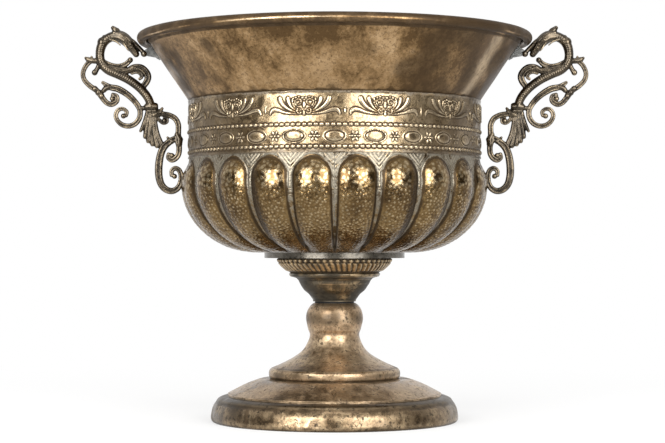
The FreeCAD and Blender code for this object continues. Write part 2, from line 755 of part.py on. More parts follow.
def handle():
    routes = [serpent_pixels, ear_pixels, lip_pixels, tongue_pixels, leaf_pixels, loop_pixels, spur_pixels]
    routes += [branch_pixels, stem_pixels, cup_curl_pixels, knot_pixels, link_pixels, bud_pixels, arm_pixels]
    routes += [scroll_pixels, barb_pixels] + skirt_pixels + curl_pixels + eye_link_pixels
    pieces = [stroke(route) for route in routes] + [ball(*place) for place in ball_pixels]
    seat = at(seat_radius() + handle_fit, seat_level)
    pieces.append(Part.makeCylinder(seat_boss_radius, seat_boss_length, seat, Vector(1, 0, 0)))
    body = solid_of(pieces[0].multiFuse(pieces[1:]))
    pin = pin_place()
    half_slot = tab_sheet / 2 + slot_fit
    across = Vector(0, 1, 0)
    slot_radius = tab_eye_radius + slot_reach
    tools = [bowl_sweep()]
    tools.append(Part.makeCylinder(slot_radius, half_slot + half_slot, pin - across * half_slot, across))
    tools.append(Part.makeCylinder(pin_radius + seat_fit, overrun + overrun, pin - across * overrun, across))
    for facing in (across, across * -1):
        tools.append(Part.makeCylinder(pin_head_radius + slot_fit, overrun, pin + facing * jaw_face, facing))
    tools.append(Part.makeCylinder(screw_radius + seat_fit, screw_depth + overrun, seat - at(overrun, 0),
                                   Vector(1, 0, 0)))
    return solid_of(body.cut(tools))


right_bowl = bowl_half()
right_handle = handle()
right_tab = handle_tab()
rivets = tab_rivets()
collar_holes = tab_rivet_holes()
collar_holes += [mirrored(hole) for hole in collar_holes]
low_washer_seat, low_nut_base, top_washer_base, top_nut_base = rod_levels()

keep("foot_plinth", plinth())
keep("foot_dome", foot_dome())
keep("pedestal_stem", pedestal_stem())
keep("stem_washer", disc_ring(stem_washer_radius, rod_hole_radius, pedestal_top, stem_washer_height))
keep("stem_cup", stem_cup())
keep("gadroon_ring", gadroon_ring())
keep("seat_plate", seat_plate())
keep("lobed_bowl_right", right_bowl)
keep("lobed_bowl_left", spun(right_bowl, full_turn / 2))
keep("frieze_band", frieze_band())
keep("flared_collar", solid_of(flared_collar().cut(collar_holes)))
keep("rim_wire", rim_wire())
keep("tie_rod", tie_rod())
keep("rod_top_washer", disc_ring(top_washer_radius, rod_hole_radius, top_washer_base, rod_washer_height))
keep("rod_top_nut", hex_nut(top_nut_base))
keep("rod_bottom_washer", disc_ring(low_washer_radius, rod_hole_radius, low_washer_seat - rod_washer_height,
                                    rod_washer_height))
keep("rod_bottom_nut", hex_nut(low_nut_base))
keep("handle_right", right_handle)
keep("handle_left", mirrored(right_handle))
keep("handle_tab_right", right_tab)
keep("handle_tab_left", mirrored(right_tab))
keep("tab_rivets", Part.Compound(rivets + [mirrored(one) for one in rivets]))
keep("jaw_rivets", Part.Compound([jaw_rivet(), mirrored(jaw_rivet())]))
keep("seat_washers", Part.Compound([seat_washer(), mirrored(seat_washer())]))
keep("seat_screws", Part.Compound([seat_screw(), mirrored(seat_screw())]))
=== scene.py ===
import math

import bpy
import numpy as np
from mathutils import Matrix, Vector


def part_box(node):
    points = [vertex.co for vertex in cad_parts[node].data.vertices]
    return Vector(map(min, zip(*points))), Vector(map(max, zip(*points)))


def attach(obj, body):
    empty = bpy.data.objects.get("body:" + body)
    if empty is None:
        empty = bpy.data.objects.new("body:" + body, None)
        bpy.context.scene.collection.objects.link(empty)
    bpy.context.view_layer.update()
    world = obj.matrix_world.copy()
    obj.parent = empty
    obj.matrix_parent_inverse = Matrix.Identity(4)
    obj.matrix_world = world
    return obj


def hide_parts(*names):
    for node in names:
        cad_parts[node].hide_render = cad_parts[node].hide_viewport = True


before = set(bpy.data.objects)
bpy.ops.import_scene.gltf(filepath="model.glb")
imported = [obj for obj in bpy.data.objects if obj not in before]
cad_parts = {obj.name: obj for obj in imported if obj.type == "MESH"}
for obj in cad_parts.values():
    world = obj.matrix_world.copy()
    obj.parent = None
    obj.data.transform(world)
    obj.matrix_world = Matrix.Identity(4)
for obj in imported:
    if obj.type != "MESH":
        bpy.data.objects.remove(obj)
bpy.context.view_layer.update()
MM = 0.001

# Levels and radii in millimetres, read from the parts of model.glb
band_low, band_high = (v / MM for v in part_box("frieze_band"))
bowl_low, bowl_high = (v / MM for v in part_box("lobed_bowl_right"))
collar_low, collar_high = (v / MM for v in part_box("flared_collar"))
plinth_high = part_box("foot_plinth")[1] / MM
stem_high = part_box("pedestal_stem")[1] / MM
dome_low, dome_high = (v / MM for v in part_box("foot_dome"))
cup_low, cup_high = (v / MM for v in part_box("stem_cup"))
ring_low, ring_high = (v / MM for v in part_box("gadroon_ring"))
band_base, band_top = band_low.z, band_high.z
bowl_base = bowl_low.z

# Sizes in millimetres, the number of lobes, and their widths as shares of the pitch
sheet = 1.0
rim_roll = 5.0
lip_radius = 145.1
band_radius = 146.2
band_back_radius = 145.25
belly_radius = 153.5
belly_height = 68.4
flat_radius = 78.0
channel_depth = 5.5
rod_bore = 5.5
lobe_count = 22
lobe_top_drop = 2.0
lobe_toe_radius = 82.0
lobe_toe_length = 12.0
lobe_width_share = 0.86
lobe_toe_width_share = 0.97


# Smooth noise in millimetres, between -1 and 1, the same in every run
def lumps(points, size, seed):
    cells, shift = 48, 211.3
    table = np.random.default_rng(seed).random((cells, cells, cells)) * 2 - 1
    place = points / size + shift
    cell = np.floor(place).astype(int)
    part = place - cell
    x, y, z = np.moveaxis(part * part * (3 - 2 * part), -1, 0)
    i, j, k = np.moveaxis(cell, -1, 0)
    total = np.zeros(points.shape[:-1])
    for dx, dy, dz in np.ndindex(2, 2, 2):
        weight = np.abs(1 - dx - x) * np.abs(1 - dy - y) * np.abs(1 - dz - z)
        total += weight * table[(i + dx) % cells, (j + dy) % cells, (k + dz) % cells]
    return total


def smooth_step(low, high, value):
    t = np.clip((value - low) / (high - low), 0, 1)
    return t * t * (3 - 2 * t)


# A soft peak of height 1 at a place, with its half width
def peak(value, place, half):
    return np.exp(-((value - place) / half) ** 2)


# Points at a radius and a height round the axis
def around(radius, turn, level):
    return np.stack(np.broadcast_arrays(radius * np.cos(turn), radius * np.sin(turn), level), -1)


# A smooth line through points of any width, with a number of steps between each pair
def spline(points, steps):
    p = np.array(points, float)
    p = np.vstack([2 * p[0] - p[1], p, 2 * p[-1] - p[-2]])
    rows = []
    for k in range(1, len(p) - 2):
        a, b, c, d = p[k - 1:k + 3]
        for t in np.arange(steps) / steps:
            rows.append(0.5 * (2 * b + (c - a) * t + (2 * a - 5 * b + 4 * c - d) * t ** 2
                               + (3 * b - a - 3 * c + d) * t ** 3))
    rows.append(p[-2])
    return np.array(rows)


def segment(start, end, steps):
    t = np.linspace(0, 1, steps + 1)[:, None]
    return np.array(start, float) * (1 - t) + np.array(end, float) * t


def arc(centre, radius, start, end, steps):
    t = np.radians(np.linspace(start, end, steps + 1))
    return np.stack([centre[0] + radius * np.cos(t), centre[1] + radius * np.sin(t)], 1)


# One closed outline from stretches that meet end to end, the straight ones as start, end and steps
def outline(*parts):
    return np.vstack([(segment(*part) if isinstance(part, tuple) else part)[:-1] for part in parts])


# Faces of a grid whose columns close round the axis, and whose rows may close too
def ring_quads(rows, columns, closed):
    r = np.arange(rows if closed else rows - 1)[:, None]
    c = np.arange(columns)[None, :]
    up_row = (r + 1) % rows
    next_column = (c + 1) % columns
    return np.stack([r * columns + c, r * columns + next_column, up_row * columns + next_column,
                     up_row * columns + c], -1).reshape(-1, 4)


# Points and faces of a grid of points that closes both ways
def skin(points):
    return points.reshape(-1, 3), ring_quads(*points.shape[:2], True)


def face_normals(verts, quads):
    a, b, c, d = (verts[quads[:, k]] for k in range(4))
    return np.cross(c - a, d - b)


def facing_out(verts, quads):
    volume = (face_normals(verts, quads) * verts[quads].mean(1)).sum()
    return quads if volume > 0 else quads[:, ::-1]


# How far each point stands out of its neighbourhood, from -1 in a hollow to 1 on an edge
def wear_of(verts, quads, passes, gain):
    quads = facing_out(verts, quads)
    count = len(verts)
    pairs = np.concatenate([quads[:, [k, (k + 1) % 4]] for k in range(4)])
    ends = np.concatenate([pairs, pairs[:, ::-1]])
    share = np.bincount(ends[:, 0], minlength=count).astype(float)

    def mean_of(field):
        return np.bincount(ends[:, 0], weights=field[ends[:, 1]], minlength=count) / share

    face = face_normals(verts, quads)
    normal = np.stack([np.bincount(quads.ravel(), weights=np.repeat(face[:, k], 4), minlength=count)
                       for k in range(3)], 1)
    normal /= np.linalg.norm(normal, axis=1)[:, None] + 1e-12
    blurred = verts.copy()
    for _ in range(passes):
        blurred = np.stack([mean_of(blurred[:, k]) for k in range(3)], 1)
    stand = ((verts - blurred) * normal).sum(1)
    return np.clip(stand * gain, -1, 1)


# One mesh piece in place of CAD nodes, with named marks on its points for the materials
def piece(name, verts, quads, nodes, material, marks, sharp=40):
    quads = facing_out(verts, quads)
    mesh = bpy.data.meshes.new(name)
    mesh.vertices.add(len(verts))
    mesh.vertices.foreach_set("co", (verts * MM).astype(np.float32).ravel())
    mesh.loops.add(quads.size)
    mesh.loops.foreach_set("vertex_index", quads.astype(np.int32).ravel())
    mesh.polygons.add(len(quads))
    mesh.polygons.foreach_set("loop_start", np.arange(0, quads.size, 4, dtype=np.int32))
    mesh.update(calc_edges=True)
    mesh.validate()
    for label, values in marks.items():
        layer = mesh.attributes.new(label, "FLOAT", "POINT")
        layer.data.foreach_set("value", np.asarray(values, np.float32).ravel())
    mesh.polygons.foreach_set("use_smooth", np.ones(len(mesh.polygons), bool))
    mesh.set_sharp_from_angle(angle=math.radians(sharp))
    obj = bpy.data.objects.new(name, mesh)
    bpy.context.scene.collection.objects.link(obj)
    mesh.materials.append(material)
    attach(obj, "root")
    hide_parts(*nodes)


# Spun piece: a closed section of radius and height, with small dents from the hand work
def spun(name, section, columns, nodes, material, dent, dent_size, seed, gain=6.0, soot_and_shade=None, rub_and_highlight=None):
    turn = np.linspace(0, 2 * np.pi, columns, endpoint=False)
    points = around(section[:, :1], turn, section[:, 1:])
    z = points[..., 2]
    push = dent * lumps(points, dent_size, seed) + 0.35 * dent * lumps(points, dent_size * 0.3, seed + 1)
    push = np.minimum(push, 0) * smooth_step(1.0, 6.0, z - z.min())
    points[..., 0] += push * np.cos(turn)
    points[..., 1] += push * np.sin(turn)
    verts, quads = skin(points)
    wear_and_light = wear_of(verts, quads, 3, gain)
    if rub_and_highlight is not None:
        wear_and_light = np.clip(wear_and_light + rub_and_highlight(points).ravel(), -1, 1)
    marks = {"wear_and_light": wear_and_light}
    if soot_and_shade is not None:
        marks["soot_and_shade"] = soot_and_shade(points)
    piece(name, verts, quads, nodes, material, marks)


# Materials
def add(tree, kind, **values):
    node = tree.nodes.new("ShaderNode" + kind)
    for key, value in values.items():
        if key in node.inputs:
            node.inputs[key].default_value = value
        else:
            setattr(node, key, value)
    return node


# A socket takes a colour, a number or the output of another node
def join(tree, value, socket):
    if isinstance(value, tuple):
        socket.default_value = (*value, 1)
    elif isinstance(value, (int, float)):
        socket.default_value = value
    else:
        tree.links.new(value, socket)


def noise_of(tree, place, scale, detail, rough, twist=0.0):
    node = add(tree, "TexNoise", Scale=scale, Detail=detail, Roughness=rough, Distortion=twist)
    join(tree, place, node.inputs["Vector"])
    return node.outputs["Fac"]


def ramp_of(tree, fac, stops):
    node = add(tree, "ValToRGB")
    while len(node.color_ramp.elements) < len(stops):
        node.color_ramp.elements.new(0.5)
    for element, (place, colour) in zip(node.color_ramp.elements, stops):
        element.position = place
        element.color = (*colour, 1)
    join(tree, fac, node.inputs["Fac"])
    return node.outputs["Color"]


def grey_of(tree, fac, low, high, bottom=0.0, top=1.0):
    node = add(tree, "MapRange", interpolation_type="SMOOTHSTEP")
    for key, value in (("Value", fac), ("From Min", low), ("From Max", high), ("To Min", bottom),
                       ("To Max", top)):
        join(tree, value, node.inputs[key])
    return node.outputs["Result"]


def maths(tree, operation, a, b):
    node = add(tree, "Math", operation=operation)
    join(tree, a, node.inputs[0])
    join(tree, b, node.inputs[1])
    return node.outputs["Value"]


def times(tree, a, b):
    return maths(tree, "MULTIPLY", a, b)


def blend(tree, fac, a, b):
    node = add(tree, "Mix", data_type="RGBA")
    for socket, value in ((0, fac), (6, a), (7, b)):
        join(tree, value, node.inputs[socket])
    return node.outputs[2]


# A mark whose edge is made ragged by noise
def ragged_by(tree, mark, noise, amount):
    return maths(tree, "ADD", mark, times(tree, maths(tree, "SUBTRACT", noise, 0.5), amount))


def darker(colour, share):
    return tuple(share * v for v in colour)


# Aged metal: mottled tones, stains, specks and pits, and where the piece has marks, scuffed edges and dirt
# in hollows; the same marks also lay painted highlights and painted shade
def patina(name, dark, mid, light, rub_and_highlight=None, grime_and_shade=None, rough=(0.28, 0.48), stain=11.0, mottle=70.0,
           speck=420.0, rub_and_highlight_share=0.7, grime_and_shade_share=0.8, stain_share=0.6, grain=0.12, streak=(1, 1, 1),
           channel=None, coat_metal=1.0, soot_and_shade=False, spread=0.11, lacquer=0.25, rag=1.3, pits=0.35):
    material = bpy.data.materials.new(name)
    material.use_nodes = True
    tree = material.node_tree
    shader = tree.nodes["Principled BSDF"]
    place = add(tree, "TexCoord").outputs["Object"]
    mapped = add(tree, "Mapping")
    mapped.inputs["Scale"].default_value = streak
    join(tree, place, mapped.inputs["Vector"])
    stains = noise_of(tree, mapped.outputs["Vector"], stain, 6, 0.62, 0.6)
    mottles = noise_of(tree, mapped.outputs["Vector"], mottle, 7, 0.66, 0.3)
    specks = noise_of(tree, place, speck, 3, 0.7)
    tone = maths(tree, "ADD", times(tree, stains, 0.45), times(tree, mottles, 0.4))
    tone = maths(tree, "ADD", tone, times(tree, specks, 0.15))
    colour = ramp_of(tree, tone, [(0.5 - spread, dark), (0.5, mid), (0.5 + spread, light)])
    patch = grey_of(tree, stains, 0.56, 0.7, 0, stain_share)
    colour = blend(tree, patch, colour, dark)
    dots = grey_of(tree, noise_of(tree, place, speck * 1.7, 2, 0.5), 0.62, 0.7, 0, 0.65)
    colour = blend(tree, dots, colour, darker(dark, 0.45))
    dirt = times(tree, grey_of(tree, mottles, 0.55, 0.75), 0.35)
    # Lighter colour on scuffed edges and painted highlights, darker colour in hollows and painted shade
    if rub_and_highlight is not None:
        wear_and_light = add(tree, "Attribute", attribute_name="wear_and_light").outputs["Fac"]
        ragged = ragged_by(tree, wear_and_light, mottles, 0.9)
        lightening = grey_of(tree, ragged, 0.06, 0.5, 0, rub_and_highlight_share)
        colour = blend(tree, lightening, colour, rub_and_highlight)
        hollow = grey_of(tree, ragged, -0.05, -0.5, 0, grime_and_shade_share)
        colour = blend(tree, hollow, colour, grime_and_shade)
        dirt = maths(tree, "MAXIMUM", dirt, hollow)
    # Chalky channels, and dark dirt that also lays painted shade
    for label, tint, edge, full in (("channel", channel, 2.4, 0.85),
                                    ("soot_and_shade", darker(dark, 0.4) if soot_and_shade else None, rag, 0.9)):
        if tint is not None:
            mark = add(tree, "Attribute", attribute_name=label).outputs["Fac"]
            cover = grey_of(tree, ragged_by(tree, mark, mottles, edge), 0.3, full, 0, 0.8)
            colour = blend(tree, cover, colour, tint)
            dirt = maths(tree, "MAXIMUM", dirt, times(tree, cover, 0.6))
    pitted = grey_of(tree, noise_of(tree, place, 300.0, 4, 0.7), 0.51, 0.6)
    pitted = times(tree, pitted, grey_of(tree, mottles, 0.4, 0.6, 0.15, pits))
    colour = blend(tree, pitted, colour, darker(dark, 0.35))
    dirt = maths(tree, "MAXIMUM", dirt, times(tree, pitted, 0.7))
    join(tree, colour, shader.inputs["Base Color"])
    gloss = maths(tree, "ADD", grey_of(tree, mottles, 0.3, 0.72, rough[0], rough[1]),
                  times(tree, dirt, 0.28))
    join(tree, gloss, shader.inputs["Roughness"])
    metal = maths(tree, "SUBTRACT", coat_metal, times(tree, dirt, 0.45))
    join(tree, metal, shader.inputs["Metallic"])
    height = maths(tree, "ADD", times(tree, specks, 0.6), mottles)
    height = maths(tree, "SUBTRACT", height, pitted)
    bump = add(tree, "Bump", Strength=grain, Distance=0.0006)
    join(tree, height, bump.inputs["Height"])
    join(tree, bump.outputs["Normal"], shader.inputs["Normal"])
    shader.inputs["Specular IOR Level"].default_value = 0.2
    coat = times(tree, maths(tree, "SUBTRACT", 1.0, dirt), lacquer)
    join(tree, coat, shader.inputs["Coat Weight"])
    shader.inputs["Coat Roughness"].default_value = 0.14
    join(tree, bump.outputs["Normal"], shader.inputs["Coat Normal"])
    return material


collar_paint = patina(
    "collar_brass", (0.110, 0.064, 0.027), (0.285, 0.176, 0.080), (0.45, 0.296, 0.152), (0.66, 0.52, 0.35),
    (0.055, 0.036, 0.020), rough=(0.28, 0.42), stain=9.0, mottle=44.0, speck=330.0, streak=(1, 1, 0.6),
    stain_share=0.55, soot_and_shade=True, spread=0.062, rag=1.0, lacquer=0.06, pits=0.5)
band_paint = patina(
    "band_brass", (0.14, 0.090, 0.042), (0.36, 0.264, 0.150), (0.56, 0.445, 0.29), (0.74, 0.61, 0.42),
    (0.030, 0.020, 0.012), rough=(0.18, 0.32), rub_and_highlight_share=0.6, grime_and_shade_share=0.97, stain_share=0.45,
    channel=(0.24, 0.205, 0.165), soot_and_shade=True, lacquer=0.3, mottle=110.0, pits=0.6)
bowl_paint = patina(
    "bowl_brass", (0.068, 0.038, 0.012), (0.160, 0.096, 0.033), (0.27, 0.177, 0.072), (0.54, 0.43, 0.27),
    (0.032, 0.020, 0.009), rough=(0.12, 0.24), rub_and_highlight_share=0.65, grime_and_shade_share=0.9, stain_share=0.5,
    channel=(0.222, 0.202, 0.160), soot_and_shade=True, lacquer=0.22, pits=0.3, mottle=150.0, stain=20.0, spread=0.09,
    grain=0.2)
plate_paint = patina(
    "plate_steel", (0.045, 0.039, 0.030), (0.115, 0.102, 0.082), (0.20, 0.184, 0.156), rough=(0.24, 0.40),
    mottle=120.0, grain=0.06)
ring_paint = patina(
    "stem_bronze", (0.060, 0.042, 0.024), (0.17, 0.120, 0.066), (0.34, 0.235, 0.120), (0.58, 0.43, 0.25),
    (0.028, 0.022, 0.016), rough=(0.26, 0.46), mottle=110.0, stain=26.0, pits=0.8)
cup_paint = patina(
    "cup_bronze", (0.052, 0.044, 0.030), (0.125, 0.104, 0.072), (0.31, 0.215, 0.115), (0.50, 0.37, 0.21),
    (0.03, 0.026, 0.02), rough=(0.28, 0.44), mottle=60.0, stain=24.0, soot_and_shade=True, pits=0.8)
stem_paint = patina(
    "foot_bronze", (0.13, 0.086, 0.046), (0.37, 0.252, 0.145), (0.55, 0.40, 0.25), (0.62, 0.48, 0.31),
    (0.04, 0.028, 0.016), rough=(0.26, 0.44), mottle=90.0, stain=18.0, stain_share=0.5, soot_and_shade=True,
    coat_metal=0.85, spread=0.09, pits=0.9)
plinth_paint = patina(
    "plinth_bronze", (0.066, 0.044, 0.023), (0.185, 0.124, 0.068), (0.35, 0.25, 0.142), (0.62, 0.47, 0.29),
    (0.05, 0.035, 0.02), rough=(0.20, 0.38), mottle=80.0, stain=14.0, soot_and_shade=True, pits=0.95)
handle_paint = patina(
    "handle_bronze", (0.030, 0.024, 0.017), (0.080, 0.063, 0.042), (0.15, 0.116, 0.076), (0.54, 0.43, 0.28),
    (0.009, 0.007, 0.005), rough=(0.20, 0.36), mottle=150.0, stain=40.0, rub_and_highlight_share=0.6, grime_and_shade_share=0.95)
tab_paint = patina(
    "tab_steel", (0.035, 0.035, 0.034), (0.095, 0.096, 0.092), (0.19, 0.19, 0.18), mottle=160.0, stain=50.0)
fixing_paint = patina(
    "fixing_steel", (0.13, 0.125, 0.115), (0.34, 0.33, 0.31), (0.52, 0.51, 0.48), mottle=170.0, stain=60.0)
rivet_paint = patina(
    "rivet_bronze", (0.07, 0.06, 0.045), (0.19, 0.16, 0.115), (0.36, 0.31, 0.23), mottle=200.0, stain=60.0)
wire_paint = patina(
    "wire_steel", (0.12, 0.11, 0.095), (0.30, 0.28, 0.25), (0.48, 0.46, 0.42), mottle=150.0, stain=40.0)
rubber_paint = patina(
    "black_washer", (0.006, 0.006, 0.006), (0.014, 0.013, 0.012), (0.03, 0.028, 0.026), rough=(0.5, 0.7),
    coat_metal=0.0, lacquer=0.0)
for nodes, paint in ((("seat_plate",), plate_paint), (("stem_washer",), rubber_paint),
                     (("tie_rod", "rod_top_washer", "rod_top_nut", "rod_bottom_washer", "rod_bottom_nut",
                       "seat_screws", "seat_washers"), fixing_paint),
                     (("handle_tab_right", "handle_tab_left", "tab_rivets"), tab_paint),
                     (("jaw_rivets",), rivet_paint), (("rim_wire",), wire_paint)):
    for node in nodes:
        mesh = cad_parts[node].data
        mesh.materials.clear()
        mesh.materials.append(paint)


# Collar: lap, cone and the edge rolled outwards over its wire
def collar_section():
    roll_inside, roll_end = rim_roll - sheet, -150
    centre = (collar_high.x - rim_roll, collar_high.z - rim_roll)
    rise = centre[1] - band_top
    run = centre[0] - lip_radius
    lean = math.atan2(run, rise) - math.asin(roll_inside / math.hypot(run, rise))
    out = np.array([math.cos(lean), -math.sin(lean)])
    touch = np.array(centre) - out * roll_inside
    start = math.degrees(math.atan2(-out[1], -out[0]))
    low, neck = (lip_radius, collar_low.z), (lip_radius, band_top)
    inner_low = (lip_radius - sheet, collar_low.z)
    inner_neck = (lip_radius - sheet, band_top + sheet * math.tan(lean / 2))
    inner_roll = arc(centre, roll_inside, start, roll_end, 40)
    outer_roll = arc(centre, rim_roll, roll_end, start, 48)
    return outline((low, neck, 8), (neck, touch, 70), inner_roll, (inner_roll[-1], outer_roll[0], 1),
                   outer_roll, (outer_roll[-1], inner_neck, 70), (inner_neck, inner_low, 8),
                   (inner_low, low, 1))


# Dark patches on the collar: degrees from the front, height, half width in degrees, half height, strength
dark_patches_at = [
    (-39, 365, 4.5, 7, 0.9), (-62, 352, 2.6, 26, 0.55), (-52, 358, 2.2, 18, 0.4), (-70, 345, 2.4, 30, 0.5),
    (-30, 326, 6.0, 5, 0.8), (-20, 330, 4.0, 6, 0.5), (15, 368, 2.5, 5, 0.5), (34, 366, 1.6, 3, 0.9),
    (37, 366, 1.2, 3, 0.9), (26, 337, 3.4, 6, 0.7), (8, 327, 5.0, 4, 0.5), (33, 338, 2.4, 4, 0.5),
    (-46, 330, 5.0, 7, 0.6)]


# Degrees from the front, towards the right
def front_turn(points):
    return np.degrees(np.arctan2(points[..., 0], -points[..., 1]))


# Painted highlight: a bright upright strip near the collar's right edge
def painted_highlight_strip(points):
    return peak(front_turn(points), 59.0, 5.0)


# Painted highlight: a bright line on the roll, half way down at the front and on its lower edge at the sides
def painted_highlight_line(points):
    aside = np.minimum(np.abs(front_turn(points)) / 60.0, 1.0)
    drop = 5.0 + 3.6 * aside ** 2
    return peak(points[..., 2], collar_high.z - drop, 0.6)


# Painted shade: the top of the roll dark, about half as dark below at the front and as dark at the sides
def painted_roll_shade(points):
    z = points[..., 2]
    aside = smooth_step(18.0, 42.0, np.abs(front_turn(points)))
    top = smooth_step(collar_high.z - 4.4, collar_high.z - 3.4, z)
    low = smooth_step(collar_high.z - 10.4, collar_high.z - 9.6, z)
    return np.maximum(top, (0.55 + 0.45 * aside) * low)


# Painted shade in the corner under the roll
def painted_corner_shade(points):
    return peak(points[..., 2], collar_high.z - 10.6, 0.9)


# Dark marks on the collar: painted shade on the roll and in the corner under it, dirt along the seam to the
# band, painted shade on its right and far left, and the listed dark patches
def collar_soot_and_shade(points):
    z, turn = points[..., 2], front_turn(points)
    roll = 0.7 * painted_roll_shade(points) + 0.6 * painted_corner_shade(points) - 0.8 * painted_highlight_line(points)
    seam = 0.5 * smooth_step(band_top + 10.0, band_top, z) * (1 + 1.2 * lumps(points, 5, 27))
    seam = seam + 0.6 * smooth_step(band_top + 2.2, band_top + 0.4, z)
    # Painted shade: the collar darker on its right and far left, less so in the painted highlight strip
    sides = 0.95 * smooth_step(12.0, 34.0, turn) + 0.3 * smooth_step(-58.0, -74.0, turn)
    sides = sides * (1 - 0.8 * painted_highlight_strip(points)) + 0.72 * lumps(points, 20, 13)
    torn = np.clip(0.65 + 1.1 * lumps(points, 9, 23), 0, 1.3)
    for place, height, half_turn, half_height, strength in dark_patches_at:
        sides = sides + strength * torn * peak(turn, place, half_turn) * peak(z, height, half_height)
    ragged = 0.45 * lumps(points, 9, 17)
    return np.maximum(np.maximum(roll, seam) + ragged, sides)


# Painted light on the collar, as lighter and darker marks: the highlight strip and line lighter, the roll
# and the corner under it darker as painted shade
def collar_painted_light(points):
    highlight_line_mark = 1.5 * painted_highlight_line(points) * (0.5 + 0.9 * lumps(points, 40, 19))
    return 0.36 * painted_highlight_strip(points) - painted_roll_shade(points) - 0.6 * painted_corner_shade(points) + highlight_line_mark


spun("collar_skin", collar_section(), 540, ["flared_collar"], collar_paint, 0.5, 46, 11,
     gain=2.0, soot_and_shade=collar_soot_and_shade, rub_and_highlight=collar_painted_light)


# Points between two places, at shares of the way along and up
def between(start, end, shares):
    return [(start[0] + (end[0] - start[0]) * a, start[1] + (end[1] - start[1]) * b) for a, b in shares]


# Foot, plinth and cup. The hollow of the foot: top of the dome's wall, joint of dome and stem, washer seat
def foot_hollow():
    base = dome_low.z
    return (59.4, base + 12.6), (54.0, base + 16.6), (27.0, base + 36.4)


def dome_section():
    base = dome_low.z
    dome_top, joint = foot_hollow()[:2]
    shares = [(0.16, 0.22), (0.45, 0.6), (0.79, 0.93)]
    lip, ring_foot = (dome_high.x, base + 1.8), (68.0, base + 16.6)
    rim = (dome_high.x - 4.0, base)
    outer = [lip] + between(lip, ring_foot, shares) + [ring_foot]
    inner = [rim] + between(rim, dome_top, shares) + [dome_top]
    edge = (dome_high.x, base)
    return outline((edge, lip, 3), spline(outer, 14), (ring_foot, joint, 6), (joint, dome_top, 3),
                   spline(inner[::-1], 6), (rim, edge, 3))


def stem_section():
    base, top = dome_low.z, stem_high.z
    joint, seat = foot_hollow()[1:]
    ring_top = (63.4, base + 26.6)
    waist, knop = (25.0, base + 59.9), (28.7, base + 76.0)
    crown = (21.0, top)
    bulge = [(63.4, base + 16.6), (65.1, base + 18.6), (65.6, base + 21.6), (65.1, base + 24.6), ring_top]
    bulge = spline(bulge, 8)
    side = [ring_top] + between(ring_top, waist, [(0.29, 0.15), (0.58, 0.33), (0.79, 0.51), (0.93, 0.74)])
    side += [waist] + between(waist, knop, [(0.5, 0.4)]) + [knop]
    side += between(knop, crown, [(0.17, 0.48), (0.54, 0.8)]) + [crown]
    bore_top, bore_low = (rod_bore, top), (rod_bore, seat[1])
    return outline((joint, bulge[0], 5), bulge, spline(side, 12), (crown, bore_top, 8),
                   (bore_top, bore_low, 10), (bore_low, seat, 8), (seat, joint, 12))


def plinth_section():
    top, foot = plinth_high.z, plinth_high.x
    ledge, edge = 106.5, (118.2, 19.4)
    wall = [(foot - 3.3, 17.0), (foot - 1.5, 13.0), (foot - 0.5, 8.4), (foot, 4.2), (foot - 0.6, 1.4),
            (foot - 2.0, 0)]
    shoulder = [(ledge, top), (ledge + 5.4, top - 1.2), (ledge + 9.6, top - 3.2), edge]
    start, start_low, ledge_low = (ledge - 11, top), (ledge - 11, top - 1.6), (ledge, top - 1.6)
    hem, hem_top, hem_inner = (foot - 6, 0), (foot - 6, 1.5), (foot - 2.6, 1.5)
    inner_edge = (edge[0] - 1.6, edge[1] - 1.8)
    return outline((start, (ledge, top), 8), spline(shoulder + wall, 8), (wall[-1], hem, 4),
                   (hem, hem_top, 2), (hem_top, hem_inner, 3),
                   spline([hem_inner, (foot - 3.5, 9.0), inner_edge], 6),
                   (inner_edge, ledge_low, 6), (ledge_low, start_low, 4), (start_low, start, 1))


def cup_section():
    base, top = cup_low.z, cup_high.z
    foot, bulge, cove = (21.5, base + 1.6), (34.6, base + 17.5), (36.4, base + 21.2)
    side = [foot] + between(foot, bulge, [(0.12, 0.14), (0.32, 0.36), (0.68, 0.62)]) + [bulge]
    lip = [(44.3, top - 4.4), (45.5, top - 2.2), (44.3, top)]
    sweep = [cove, (39.0, base + 23.4), (44.3, top - 4.4)]
    edge, bore_top, bore_low = (21.5, base), (rod_bore, top), (rod_bore, base)
    return outline((edge, foot, 2), spline(side, 12), (bulge, cove, 4), spline(sweep, 8), spline(lip, 8),
                   (lip[-1], bore_top, 10), (bore_top, bore_low, 6), (bore_low, edge, 5))


# Plinth darker on its shoulder, with painted shade where it meets the floor; foot with dark seams, painted
# shade round its neck under the cup, and a darker knop and lower bulge
def plinth_soot_and_shade(points):
    z = points[..., 2]
    shoulder = smooth_step(17.0, 20.5, z)
    return 0.42 + 0.4 * shoulder + 0.6 * smooth_step(3.0, 0.4, z) + 0.45 * lumps(points, 22, 33)


def foot_soot_and_shade(points):
    z = points[..., 2] - dome_low.z
    seams = peak(z, 0.6, 1.6) + peak(z, 17.2, 1.2) + 0.8 * peak(z, 27.4, 1.3)
    # Painted shade round the neck, under the cup
    neck = 0.9 * smooth_step(86.0, 91.0, z)
    bulges = 0.72 * peak(z, 77.0, 9.0) + 0.62 * peak(z, 21.6, 4.0)
    return 0.7 * seams + neck + bulges + 0.34 * lumps(points, 15, 23)


# Painted light on the foot: the flare lighter as painted highlight, the dome's lip darker as painted shade
def foot_painted_light(points):
    z = points[..., 2] - dome_low.z
    flare = smooth_step(28.0, 34.0, z) * smooth_step(66.0, 54.0, z)
    return 0.3 * flare - 0.8 * peak(z, 0.9, 1.5)


def cup_rub(points):
    return -0.4 + 1.1 * lumps(points, 13, 45)


# Painted shade at the foot of the cup where it sits on the stem, with random dirt
def cup_soot_and_shade(points):
    z = points[..., 2]
    return smooth_step(stem_high.z + 5.0, stem_high.z + 2.0, z) + 0.25 * lumps(points, 14, 43)


